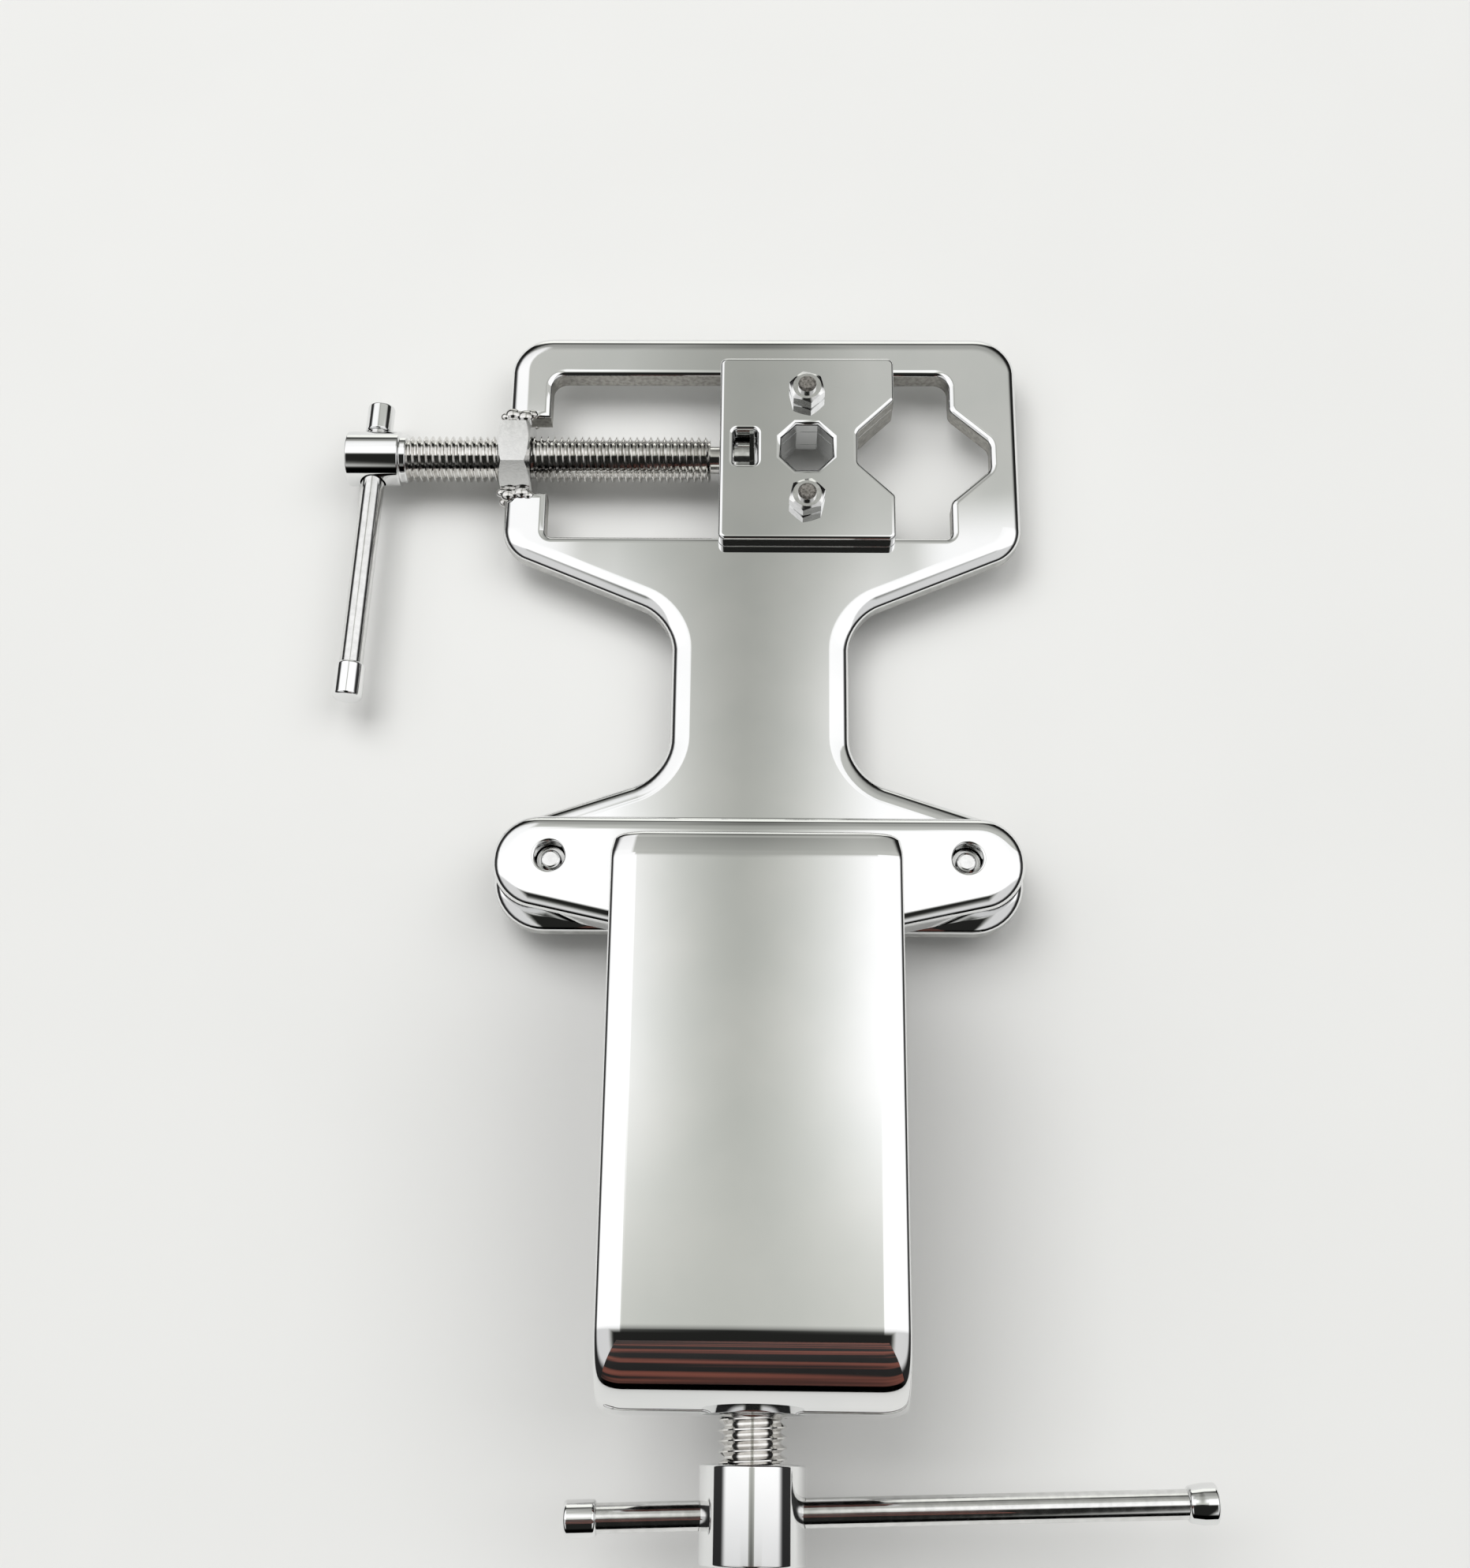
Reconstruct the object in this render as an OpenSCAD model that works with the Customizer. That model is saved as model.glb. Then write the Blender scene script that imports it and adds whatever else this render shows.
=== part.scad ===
// Clamp-on vise that holds a lock while it is worked on.
// X runs along the jaw screw, Y from the clamp's spine to the plate, Z up with the clamp on a table's edge.
// The origin lies on the clamp screw's axis, in the seat that rests on the table top.

/* [Vise plate] */
// Thickness of the plate
plate_t = 5; // [4:0.5:7]
// Width of the head
head_w = 112; // [104:1:130]
// Height of the head's straight sides, to their corners
head_side_h = 53; // [52:1:70]
// Drop of the slanted edges under the head
slant_drop = 16; // [10:1:22]
// Height of the neck between the head and the foot, to the corners
neck_h = 35.1; // [34:0.1:50]
// Width of the neck
neck_w = 37.2; // [30:0.2:44]
// Width of the foot
foot_w = 107; // [100:1:116]
// Drop of the foot's shoulders from the neck to the foot's ends
shoulder_drop = 12; // [9:0.5:14]
// Rounding of the head's upper corners
head_r = 9; // [4:0.5:14]
// Rounding of the corners between the sides and the slants
side_r = 8; // [3:0.5:8]
// Rounding of the inner corners at the neck
neck_r = 11; // [4:0.5:12]

/* [Window] */
// Height of the window that the jaw runs in
window_h = 40; // [36:0.5:42]
// Width of the bar that carries the jaw nut
left_bar_w = 9.3; // [8.5:0.1:14]
// Width of the bar with the fixed notch
right_bar_w = 14.9; // [13:0.1:20]
// Height of the rail above the window
top_rail_h = 10.2; // [8:0.1:14]
// Rounding of the window's corners
window_r = 3; // [1:0.5:4]
// Depth of the fixed notch
notch_depth = 8.8; // [6:0.1:9.5]
// Height of the fixed notch's mouth
notch_mouth_h = 22.4; // [18:0.2:28]
// Height of the flat at the fixed notch's inner end
notch_flat_h = 6.5; // [5.2:0.1:10]
// Rounding of the fixed notch's inner end
notch_r = 2.5; // [1:0.25:3]

/* [Jaw] */
// Width of the jaw
jaw_w = 38; // [34:0.5:40]
// How far the jaw's plates reach over each rail
jaw_overlap = 2.25; // [1.5:0.25:5]
// Thickness of the front plate ahead of the rails
jaw_front_t = 3.5; // [3:0.25:6]
// Thickness of the back plate
jaw_back_t = 3; // [2:0.25:3.25]
// Width of the back plate
jaw_back_w = 29.5; // [27:0.5:30]
// Gap between the closed jaw's right edge and the fixed notch's bar at rest
jaw_gap = 12.3; // [10:0.1:14]
// Clearance of the jaw's faces and edges on the rails
slide_gap = 0.1; // [0.05:0.05:0.2]
// Depth of the jaw's notch
jaw_notch_depth = 8; // [5:0.25:9]
// Height of the jaw notch's mouth
jaw_notch_mouth = 23.2; // [18:0.2:28]
// Height of the flat at the jaw notch's inner end
jaw_notch_flat = 7.4; // [5:0.2:10]
// Width of the eight-sided hole across its flats
octagon_af = 11; // [8:0.5:12]
// Width of the bevel round the eight-sided hole
octagon_bevel = 0.8; // [0.4:0.1:1.2]
// Distance from the jaw's left edge to the slot
slot_inset = 3; // [2:0.1:4]
// Width of the slot over the collar
slot_w = 5.2; // [4.5:0.1:6]
// Height of the slot over the collar
slot_h = 8.6; // [6:0.1:9]

/* [Jaw screw] */
// Thread diameter of the jaw screw
jaw_thread_d = 10; // [9:0.5:11]
// Length of the threaded stretch
jaw_thread_len = 66.6; // [60:0.2:80]
// Diameter of the neck that turns in the jaw
jaw_neck_d = 6; // [5:0.25:6.5]
// Length of the neck that shows beside the jaw
neck_show = 2; // [1.5:0.1:4]
// Diameter of the collar held in the jaw
collar_d = 8; // [7.5:0.25:8.5]
// Length of the collar
collar_len = 3.3; // [2.5:0.1:3.4]
// Width of the welded nut across its flats
jaw_nut_af = 17; // [16:0.5:18]
// Thickness of the welded nut
jaw_nut_t = 7; // [6:0.5:8]
// Diameter of the jaw screw's head
jaw_head_d = 12; // [11:0.5:16]
// Length of the jaw screw's head
jaw_head_len = 11.6; // [11:0.1:16]
// Length of the shoulder between that head and the thread
jaw_shoulder_len = 1.6; // [1:0.1:3]

/* [Clamp body] */
// Width of the spine and the arms
clamp_w = 52; // [46:1:60]
// Thickness of the spine
spine_t = 11; // [9:0.5:14]
// Distance from the clamp screw's axis to the spine
reach = 18; // [16:0.5:40]
// Distance from the clamp screw's axis to the plate
seat_back = 16; // [14:0.5:24]
// Opening between the seat and the lower arm
throat_h = 73.7; // [60:0.1:90]
// Thickness of the upper arm
upper_arm_t = 14; // [11:0.5:16]
// Inner radius of the bend into the lower arm
bend_inner_r = 3; // [1:0.5:6]
// Width of the sloping facets along the bar's outer edges
facet_w = 4.8; // [2:0.2:7]
// Height of the sloping facet at the spine's top
top_facet_h = 4.5; // [2:0.5:7]
// Depth of the facets where they reach the bar's sides
facet_depth = 1.5; // [0.5:0.1:2.5]
// Rounding between the facets and the bar's sides
bar_edge_r = 1.2; // [0.5:0.1:2]
// Rounding of the upper arm's side edges
arm_edge_r = 3; // [1:0.5:5]
// Width of the lower arm at its end
arm_end_w = 32; // [28:0.5:40]
// Distance from the clamp screw's axis to the lower arm's end
arm_end_y = 15; // [12:0.5:22]
// Thickness of the ears
ear_t = 7; // [5:0.5:9]
// Height of the ears' upper edge above the seat
ear_top_z = 29.4; // [28:0.1:32]
// Radius of the ears' ends
ear_r = 9.5; // [8:0.25:10]
// Distance between the centres of the ears' ends
ear_span = 87; // [82:0.5:92]
// Distance between the ear screws
ear_pitch = 83; // [78:0.5:88]
// Height of the ear screws above the ears' middle
ear_hole_lift = 0.8; // [0:0.1:1.5]
// Fall of the ears' lower edges towards the spine, in degrees
ear_fall = 12.5; // [8:0.5:16]

/* [Clamp screw] */
// Thread diameter of the clamp screw
clamp_thread_d = 12; // [11:0.5:13]
// Diameter of the clamp screw's head
clamp_head_d = 18.5; // [17:0.5:24]
// Length of the clamp screw's head
clamp_head_len = 16.2; // [14:0.2:20]
// Distance from the lower arm down to the head
head_drop = 7.6; // [7.1:0.1:12]
// Distance from the seat down to the pad
pad_drop = 9; // [8:0.5:14]
// Diameter of the pad
pad_d = 28; // [24:0.5:32]
// Thickness of the pad's disc
pad_t = 4.5; // [3.5:0.5:6]
// Diameter of the hub under the pad
hub_d = 17; // [15:0.5:20]
// Height of the hub
hub_h = 7; // [6:0.5:9]
// Diameter of the pivot in the hub
pivot_d = 8; // [7.5:0.5:9]

/* [Tommy bars] */
// Diameter of the bars
bar_d = 5; // [4.5:0.25:5.25]
// Diameter of the cross hole in the jaw screw's head
jaw_hole_d = 5.6; // [5.5:0.05:5.8]
// Diameter of the cross hole in the clamp screw's head
clamp_hole_d = 6; // [5.9:0.05:6.2]
// Diameter of the jaw bar's cap
cap_d = 6; // [5.8:0.1:8]
// Length of the jaw bar's cap
cap_len = 6.6; // [5:0.1:8]
// Diameter of the knobs
knob_d = 6.3; // [6:0.1:9]
// Length of the jaw bar's knob
knob_len = 7.8; // [6:0.1:9]
// Free length of the jaw bar under the jaw screw's axis
jaw_bar_reach = 49.2; // [40:0.2:70]
// Lean of the hanging jaw bar, in degrees
jaw_bar_lean = 1.8; // [0:0.1:1.9]
// Free length of the clamp bar on its left side
clamp_bar_left = 26.7; // [20:0.1:45]
// Free length of the clamp bar on its right side
clamp_bar_right = 74.6; // [50:0.1:80]
// Length of the clamp bar's left knob
end_knob_len = 5.7; // [4.5:0.1:8]
// Diameter of the flared cap on the clamp bar's right end
flare_d = 6.9; // [6:0.1:9]
// Length of the flared cap
flare_len = 5.2; // [4.6:0.1:7]
// Slope of the clamp bar in its hole, in degrees
clamp_bar_lean = 2; // [0:0.1:2]

/* [Fasteners] */
// Thread diameter of the screws through the foot
foot_screw_d = 6; // [5:0.5:6.5]
// Distance of the foot screws' ends behind the ears' faces
tip_recess = 2.4; // [1:0.1:3]
// Diameter of the foot screws' heads
foot_head_d = 10; // [9:0.5:11]
// Height of the foot screws' heads
foot_head_h = 6; // [5:0.5:6]
// Width of the sockets in those heads
socket_af = 5; // [4:0.5:6]
// Depth of the sockets
socket_depth = 3; // [2:0.25:4]
// Thread diameter of the jaw bolts
jaw_bolt_d = 4; // [3:0.5:4.5]
// Distance between the jaw bolts
jaw_bolt_pitch = 26.2; // [24:0.2:28]
// Width of the jaw bolts' nuts across their flats
bolt_nut_af = 7; // [6:0.5:8]
// Thickness of those nuts
bolt_nut_t = 3.2; // [2.5:0.1:4]
// How far the bolts' ends stand out of the nuts
bolt_tip = 1.5; // [0.5:0.1:2.5]
// Diameter of the jaw bolts' heads
bolt_head_d = 8; // [7:0.25:8.5]
// Height of the jaw bolts' heads
bolt_head_h = 2.6; // [2:0.1:2.7]

/* [Hidden] */
$fn = 96;

// Overrun of every cut past the face that it opens
over = 1;
// How far a rounding arc reaches over the sides that it joins, so that it always meets them
arc_bite = 0.003;
// Radial clearance of turning and threaded fits
run_fit = 0.05;
// Radial clearance of pressed and swaged fits
press_fit = 0.02;
// Radial clearance of a screw in its through hole
through_fit = 0.3;
// Diameter of a nut's round end face, as a share of its width across flats
nut_face_share = 0.95;
// Gap left where a round piece rests on another
rest_gap = 0.2;

// Places in the clamp
spine_front_y = -reach - spine_t;
bend_r = bend_inner_r + spine_t;
bend_y = spine_front_y + bend_r;
arm_bottom_z = -throat_h - spine_t;
bend_top_z = arm_bottom_z + bend_r;
ear_front_y = seat_back - ear_t;
ear_mid_z = ear_top_z - ear_r;
ear_hole_z = ear_mid_z + ear_hole_lift;
throat_corner_r = 3;
seat_fillet_r = 6;
arm_end_round = 13;

// Places in the plate
plate_back_y = seat_back + plate_t;
foot_bottom_z = 7.4;
foot_end_r = 10.6;
foot_shoulder_r = 9.6;
foot_shoulder_z = 28.9;
foot_top_z = foot_shoulder_z + shoulder_drop;
neck_top_z = foot_top_z + neck_h;
side_corner_z = neck_top_z + slant_drop;
head_top_z = side_corner_z + head_side_h;
axis_y = seat_back + plate_t / 2;
axis_z = head_top_z - top_rail_h - window_h / 2;
window_left_x = -head_w / 2 + left_bar_w;
window_right_x = head_w / 2 - right_bar_w;

// Places in the jaw
jaw_right_x = window_right_x - jaw_gap;
jaw_left_x = jaw_right_x - jaw_w;
jaw_mid_x = (jaw_left_x + jaw_right_x) / 2;
jaw_plate_h = window_h + 2 * jaw_overlap;
jaw_corner_r = 1.5;
tongue_corner_r = window_r + jaw_corner_r;
tongue_front_y = seat_back - slide_gap;
tongue_back_y = plate_back_y + slide_gap;
tongue_h = window_h - 2 * slide_gap;
jaw_front_y = tongue_front_y - jaw_front_t;
jaw_back_y = tongue_back_y + jaw_back_t;
slot_r = 1;
pocket_gap = 0.2;
slot_left_x = jaw_left_x + slot_inset;
collar_left_x = slot_left_x + pocket_gap;
collar_right_x = collar_left_x + collar_len;

// Places along the jaw screw
thread_end_x = jaw_left_x - neck_show;
thread_start_x = thread_end_x - jaw_thread_len;
shoulder_step = 0.3;
jaw_head_right_x = thread_start_x - jaw_shoulder_len;
jaw_head_left_x = jaw_head_right_x - jaw_head_len;
jaw_hole_x = (jaw_head_left_x + jaw_head_right_x) / 2;
collar_seat_d = 5;
jaw_spigot_d = 7;
jaw_spigot_len = 1.6;
jaw_nut_out = 1.25;
jaw_nut_left_x = -head_w / 2 - jaw_nut_out;
nut_notch_gap = 0.1;
bar_gap_h = 18.6;

// Places along the clamp screw
head_top = arm_bottom_z - head_drop;
clamp_hole_z = head_top - clamp_head_len / 2;
pad_under_z = -pad_drop - pad_t;
hub_bottom_z = pad_under_z - hub_h;
shoulder_gap = 0.3;
pivot_top_z = pad_under_z - shoulder_gap;
clamp_spigot_d = 8;
clamp_spigot_len = 4;
ring_rise = 2.4;
ring_z = hub_bottom_z + ring_rise;
ring_t = 1.2;
ring_out = 1.3;
ring_in = 0.8;
ring_gap = 0.2;
ring_d = pivot_d + 2 * ring_out;
ring_groove_d = pivot_d - 2 * ring_in;
head_recess_rim = 1;
turned_bevel = 0.8;

// Places on the tommy bars, along each bar from the screw's axis
cap_start = jaw_head_d / 2 + rest_gap;
bar_seat = 2 * bar_d / 3;

// Weld between the jaw nut and the bar
bead_r = 1.3;
bead_step = 1.5;
bead_count = 4;

function unit(v) = v / norm(v);
function flat_point(p) = [p[0], p[1]];
// 1 where the outline turns left at v, and -1 where it turns right
function turn_at(a, v, b) = sign((v - a)[0] * (b - v)[1] - (v - a)[1] * (b - v)[0]);
// Half the angle between the sides that meet at v
function half_angle(a, v, b) = acos(unit(a - v) * unit(b - v)) / 2;
// Centre of the arc that rounds v, and the point where it leaves the side towards a
function arc_centre(a, v, b, r) = v + unit(unit(a - v) + unit(b - v)) * r / sin(half_angle(a, v, b));
function arc_start(a, v, b, r) = v + unit(a - v) * r / tan(half_angle(a, v, b));

// What lies between a corner and the arc that rounds it, reaching a little past the corner
module corner_piece(a, v, b, r) {
    centre = arc_centre(a, v, b, r);
    difference() {
        polygon([2 * v - centre, arc_start(a, v, b, r), centre, arc_start(b, v, a, r)]);
        translate(centre) circle(r = r + arc_bite);
    }
}

module corner_pieces(corners, turn) {
    n = len(corners);
    for (i = [0:n - 1]) {
        a = flat_point(corners[(i + n - 1) % n]);
        v = flat_point(corners[i]);
        b = flat_point(corners[(i + 1) % n]);
        if (corners[i][2] > 0 && turn_at(a, v, b) == turn)
            corner_piece(a, v, b, corners[i][2]);
    }
}

// Outline with true arcs, through corners given anticlockwise as [x, y, rounding]
module rounded(corners) {
    difference() {
        union() {
            polygon([for (c = corners) flat_point(c)]);
            corner_pieces(corners, -1);
        }
        corner_pieces(corners, 1);
    }
}

// Slab of an upright outline, given in X and Z, between two places along Y
module upright(from_y, to_y) {
    translate([0, to_y, 0]) rotate([90, 0, 0]) linear_extrude(to_y - from_y) children();
}

// Round bar along the jaw screw's axis between two places
module rod_x(from_x, to_x, d) {
    translate([from_x, axis_y, axis_z]) rotate([0, 90, 0]) cylinder(h = to_x - from_x, d = d);
}

// Round bar along Y between two places
module rod_y(x, z, from_y, to_y, d) {
    translate([x, from_y, z]) rotate([-90, 0, 0]) cylinder(h = to_y - from_y, d = d);
}

// Round bar along the clamp screw's axis between two heights
module rod_z(from_z, to_z, d) {
    translate([0, 0, from_z]) cylinder(h = to_z - from_z, d = d);
}

// Hexagon nut standing on the XY plane, with its corners bevelled off at 30 degrees at both ends
module hex_nut(af, t, bore) {
    corner_d = af / cos(30);
    face_d = nut_face_share * af;
    wide_d = 2 * corner_d - face_d;
    bevel_h = (wide_d - face_d) / 2 * tan(30);
    difference() {
        intersection() {
            cylinder(h = t, d = corner_d, $fn = 6);
            union() {
                cylinder(h = bevel_h, d1 = face_d, d2 = wide_d);
                translate([0, 0, bevel_h]) cylinder(h = t - 2 * bevel_h, d = wide_d);
                translate([0, 0, t - bevel_h]) cylinder(h = bevel_h, d1 = wide_d, d2 = face_d);
            }
        }
        translate([0, 0, -over]) cylinder(h = t + 2 * over, d = bore);
    }
}

// Round bar standing on the XY plane, with both ends bevelled
module bevelled_bar(h, d, bevel) {
    cylinder(h = bevel, d1 = d - 2 * bevel, d2 = d);
    translate([0, 0, bevel]) cylinder(h = h - 2 * bevel, d = d);
    translate([0, 0, h - bevel]) cylinder(h = bevel, d1 = d, d2 = d - 2 * bevel);
}

// Turns a piece standing on the XY plane onto the jaw bar's line; the screw's axis is at its origin
module on_jaw_bar() {
    translate([jaw_hole_x, axis_y, axis_z]) rotate([0, jaw_bar_lean, 0]) children();
}

// Turns a piece standing on the XY plane onto the clamp bar's line, pointing right
module on_clamp_bar() {
    translate([0, 0, clamp_hole_z]) rotate([0, 90 - clamp_bar_lean, 0]) children();
}

// Section through the bar: across it, and inwards from its outer face, which slopes at both sides
module bar_section(depth) {
    half_w = clamp_w / 2;
    rounded([[-half_w, facet_depth, bar_edge_r], [facet_w - half_w, 0, 0], [half_w - facet_w, 0, 0],
             [half_w, facet_depth, bar_edge_r], [half_w, depth, 0], [-half_w, depth, 0]]);
}

// Spine and upper arm, with the facets along the spine and over the arm
module spine_and_upper_arm() {
    intersection() {
        translate([-clamp_w / 2, 0, 0]) rotate([90, 0, 90]) linear_extrude(clamp_w)
            rounded([[spine_front_y, bend_top_z, 0], [-reach, bend_top_z, 0], [-reach, 0, throat_corner_r],
                     [ear_front_y, 0, 0], [ear_front_y, upper_arm_t, 0],
                     [spine_front_y + facet_depth, upper_arm_t, bar_edge_r],
                     [spine_front_y, upper_arm_t - top_facet_h, 0]]);
        translate([0, spine_front_y, bend_top_z]) linear_extrude(upper_arm_t - bend_top_z)
            bar_section(ear_front_y - spine_front_y);
        upright(spine_front_y, ear_front_y)
            rounded([[-clamp_w / 2, bend_top_z, 0], [clamp_w / 2, bend_top_z, 0],
                     [clamp_w / 2, upper_arm_t, arm_edge_r], [-clamp_w / 2, upper_arm_t, arm_edge_r]]);
    }
}

// Quarter bend from the spine into the lower arm
module lower_bend() {
    translate([0, bend_y, bend_top_z]) rotate([0, 90, 0]) rotate(-90)
        rotate_extrude(angle = 90) translate([bend_r, 0]) rotate(90) bar_section(spine_t);
}

// Lower arm, narrowing to the round end that carries the clamp screw
module lower_arm() {
    intersection() {
        translate([0, arm_end_y, arm_bottom_z]) rotate([90, 0, 0]) linear_extrude(arm_end_y - bend_y)
            bar_section(spine_t);
        translate([0, 0, arm_bottom_z]) linear_extrude(spine_t)
            rounded([[-clamp_w / 2, bend_y, 0], [clamp_w / 2, bend_y, 0],
                     [arm_end_w / 2, arm_end_y, arm_end_round], [-arm_end_w / 2, arm_end_y, arm_end_round]]);
    }
}

// Outline of the flange with its two ears, as [X, Z]
module ear_outline() {
    low_z = ear_mid_z - ear_r / cos(ear_fall) - (ear_span - clamp_w) / 2 * tan(ear_fall);
    touch_x = ear_span / 2 + ear_r * sin(ear_fall);
    touch_z = ear_mid_z - ear_r * cos(ear_fall);
    polygon([[-ear_span / 2, ear_top_z], [-ear_span / 2, ear_mid_z], [-touch_x, touch_z],
             [-clamp_w / 2, low_z], [clamp_w / 2, low_z], [touch_x, touch_z],
             [ear_span / 2, ear_mid_z], [ear_span / 2, ear_top_z]]);
    for (side = [-1, 1]) {
        translate([side * ear_span / 2, ear_mid_z]) circle(r = ear_r);
    }
}

// Flange on the upper arm, with the fillet that runs up to it
module flange() {
    upright(ear_front_y, seat_back) ear_outline();
    translate([-clamp_w / 2, ear_front_y, 0]) cube([clamp_w, ear_t, upper_arm_t]);
    translate([arm_edge_r - clamp_w / 2, 0, 0]) rotate([90, 0, 90]) linear_extrude(clamp_w - 2 * arm_edge_r)
        difference() {
            translate([ear_front_y - seat_fillet_r, upper_arm_t - seat_fillet_r])
                square([seat_fillet_r + ear_t / 2, 2 * seat_fillet_r]);
            translate([ear_front_y - seat_fillet_r, upper_arm_t + seat_fillet_r]) circle(r = seat_fillet_r);
        }
}

module clamp_body() {
    color("silver") difference() {
        union() {
            spine_and_upper_arm();
            lower_bend();
            lower_arm();
            flange();
        }
        for (side = [-1, 1]) {
            rod_y(side * ear_pitch / 2, ear_hole_z, ear_front_y - over, seat_back + over,
                  foot_screw_d + 2 * run_fit);
        }
        rod_z(arm_bottom_z - over, -throat_h + over, clamp_thread_d + 2 * run_fit);
    }
}

// Outline of the plate, as [X, Z]
module plate_outline() {
    rounded([[-head_w / 2, head_top_z, head_r], [-head_w / 2, side_corner_z, side_r],
             [-neck_w / 2, neck_top_z, neck_r], [-neck_w / 2, foot_top_z, neck_r],
             [-foot_w / 2, foot_shoulder_z, foot_shoulder_r], [-foot_w / 2, foot_bottom_z, foot_end_r],
             [foot_w / 2, foot_bottom_z, foot_end_r], [foot_w / 2, foot_shoulder_z, foot_shoulder_r],
             [neck_w / 2, foot_top_z, neck_r], [neck_w / 2, neck_top_z, neck_r],
             [head_w / 2, side_corner_z, side_r], [head_w / 2, head_top_z, head_r]]);
}

// Outline of the window with the fixed notch in its right side
module window_outline() {
    low_z = axis_z - window_h / 2;
    high_z = axis_z + window_h / 2;
    rounded([[window_left_x, low_z, window_r / 2], [window_right_x, low_z, window_r / 2],
             [window_right_x, axis_z - notch_mouth_h / 2, 0],
             [window_right_x + notch_depth, axis_z - notch_flat_h / 2, notch_r],
             [window_right_x + notch_depth, axis_z + notch_flat_h / 2, notch_r],
             [window_right_x, axis_z + notch_mouth_h / 2, 0],
             [window_right_x, high_z, window_r], [window_left_x, high_z, window_r]]);
}

module vise_plate() {
    color("silver") difference() {
        upright(seat_back, plate_back_y) plate_outline();
        upright(seat_back - over, plate_back_y + over) window_outline();
        translate([-head_w / 2 - over, seat_back - over, axis_z - bar_gap_h / 2])
            cube([left_bar_w + 2 * over, plate_t + 2 * over, bar_gap_h]);
        translate([-head_w / 2 - over, axis_y, axis_z]) rotate([0, 90, 0])
            cylinder(h = over + jaw_nut_t - jaw_nut_out + nut_notch_gap,
                     d = (jaw_nut_af + 2 * nut_notch_gap) / cos(30), $fn = 6);
        for (side = [-1, 1]) {
            rod_y(side * ear_pitch / 2, ear_hole_z, seat_back - over, plate_back_y + over,
                  foot_screw_d + 2 * through_fit);
        }
    }
}

// Socket screws that enter the foot from behind and end inside the ears
module foot_screws() {
    tip_y = ear_front_y + tip_recess;
    tip_len = foot_screw_d / 5;
    head_z = plate_back_y - tip_y;
    color("dimgray") for (side = [-1, 1]) {
        translate([side * ear_pitch / 2, tip_y, ear_hole_z]) rotate([-90, 0, 0]) difference() {
            union() {
                cylinder(h = tip_len, d1 = foot_screw_d - 2 * tip_len, d2 = foot_screw_d);
                translate([0, 0, tip_len]) cylinder(h = head_z - tip_len, d = foot_screw_d);
                translate([0, 0, head_z]) cylinder(h = foot_head_h, d = foot_head_d);
            }
            translate([0, 0, head_z + foot_head_h - socket_depth])
                cylinder(h = socket_depth + over, d = socket_af / cos(30), $fn = 6);
        }
    }
}

// Nut welded into the left bar
module jaw_nut() {
    color("lightgray") translate([jaw_nut_left_x, axis_y, axis_z]) rotate([0, 90, 0])
        hex_nut(jaw_nut_af, jaw_nut_t, jaw_thread_d + 2 * run_fit);
}

// Runs of weld on both faces of the plate, in the corners between the nut and the ends of the bar
module weld_beads() {
    color("gray") for (end = [-1, 1], face = [-1, 1]) {
        difference() {
            for (i = [0:bead_count - 1]) {
                translate([jaw_nut_left_x + jaw_nut_t / 2 + (i - (bead_count - 1) / 2) * bead_step,
                           axis_y + face * plate_t / 2, axis_z + end * bar_gap_h / 2]) sphere(r = bead_r);
            }
            translate([-head_w, seat_back, axis_z - bar_gap_h]) cube([head_w, plate_t, 2 * bar_gap_h]);
            translate([jaw_nut_left_x - over, axis_y, axis_z]) rotate([0, 90, 0])
                cylinder(h = jaw_nut_t + 2 * over, d = jaw_nut_af / cos(30), $fn = 6);
        }
    }
}

// Outline of the jaw's front half; the notch keeps its place on plates of any height
module jaw_outline(h, corner_r) {
    notch_x = jaw_right_x - jaw_notch_depth;
    low_z = axis_z - h / 2;
    high_z = axis_z + h / 2;
    rounded([[jaw_left_x, low_z, corner_r], [jaw_right_x, low_z, corner_r],
             [jaw_right_x, axis_z - jaw_notch_mouth / 2, 0],
             [notch_x, axis_z - jaw_notch_flat / 2, jaw_corner_r],
             [notch_x, axis_z + jaw_notch_flat / 2, jaw_corner_r],
             [jaw_right_x, axis_z + jaw_notch_mouth / 2, 0],
             [jaw_right_x, high_z, corner_r], [jaw_left_x, high_z, corner_r]]);
}

// Eight-sided hole with flats across X and Z
module octagon_hole(from_y, to_y, af) {
    translate([jaw_mid_x, from_y, axis_z]) rotate([-90, 0, 0]) rotate(180 / 8)
        cylinder(h = to_y - from_y, d = af / cos(180 / 8), $fn = 8);
}

// Channel for the neck and the wider pocket for the collar, open to the back of the front half
module screw_channel() {
    neck_r = jaw_neck_d / 2 + run_fit;
    pocket_r = collar_d / 2 + pocket_gap;
    rod_x(jaw_left_x - over, slot_left_x + over, 2 * neck_r);
    rod_x(slot_left_x, collar_right_x + pocket_gap, 2 * pocket_r);
    translate([jaw_left_x - over, axis_y, axis_z - neck_r])
        cube([over + slot_inset + over, tongue_back_y - axis_y, 2 * neck_r]);
    translate([slot_left_x, axis_y, axis_z - pocket_r])
        cube([collar_len + 2 * pocket_gap, tongue_back_y - axis_y, 2 * pocket_r]);
}

module jaw_bolt_holes(from_y, to_y) {
    for (side = [-1, 1]) {
        rod_y(jaw_mid_x, axis_z + side * jaw_bolt_pitch / 2, from_y, to_y, jaw_bolt_d + 2 * run_fit);
    }
}

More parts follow.
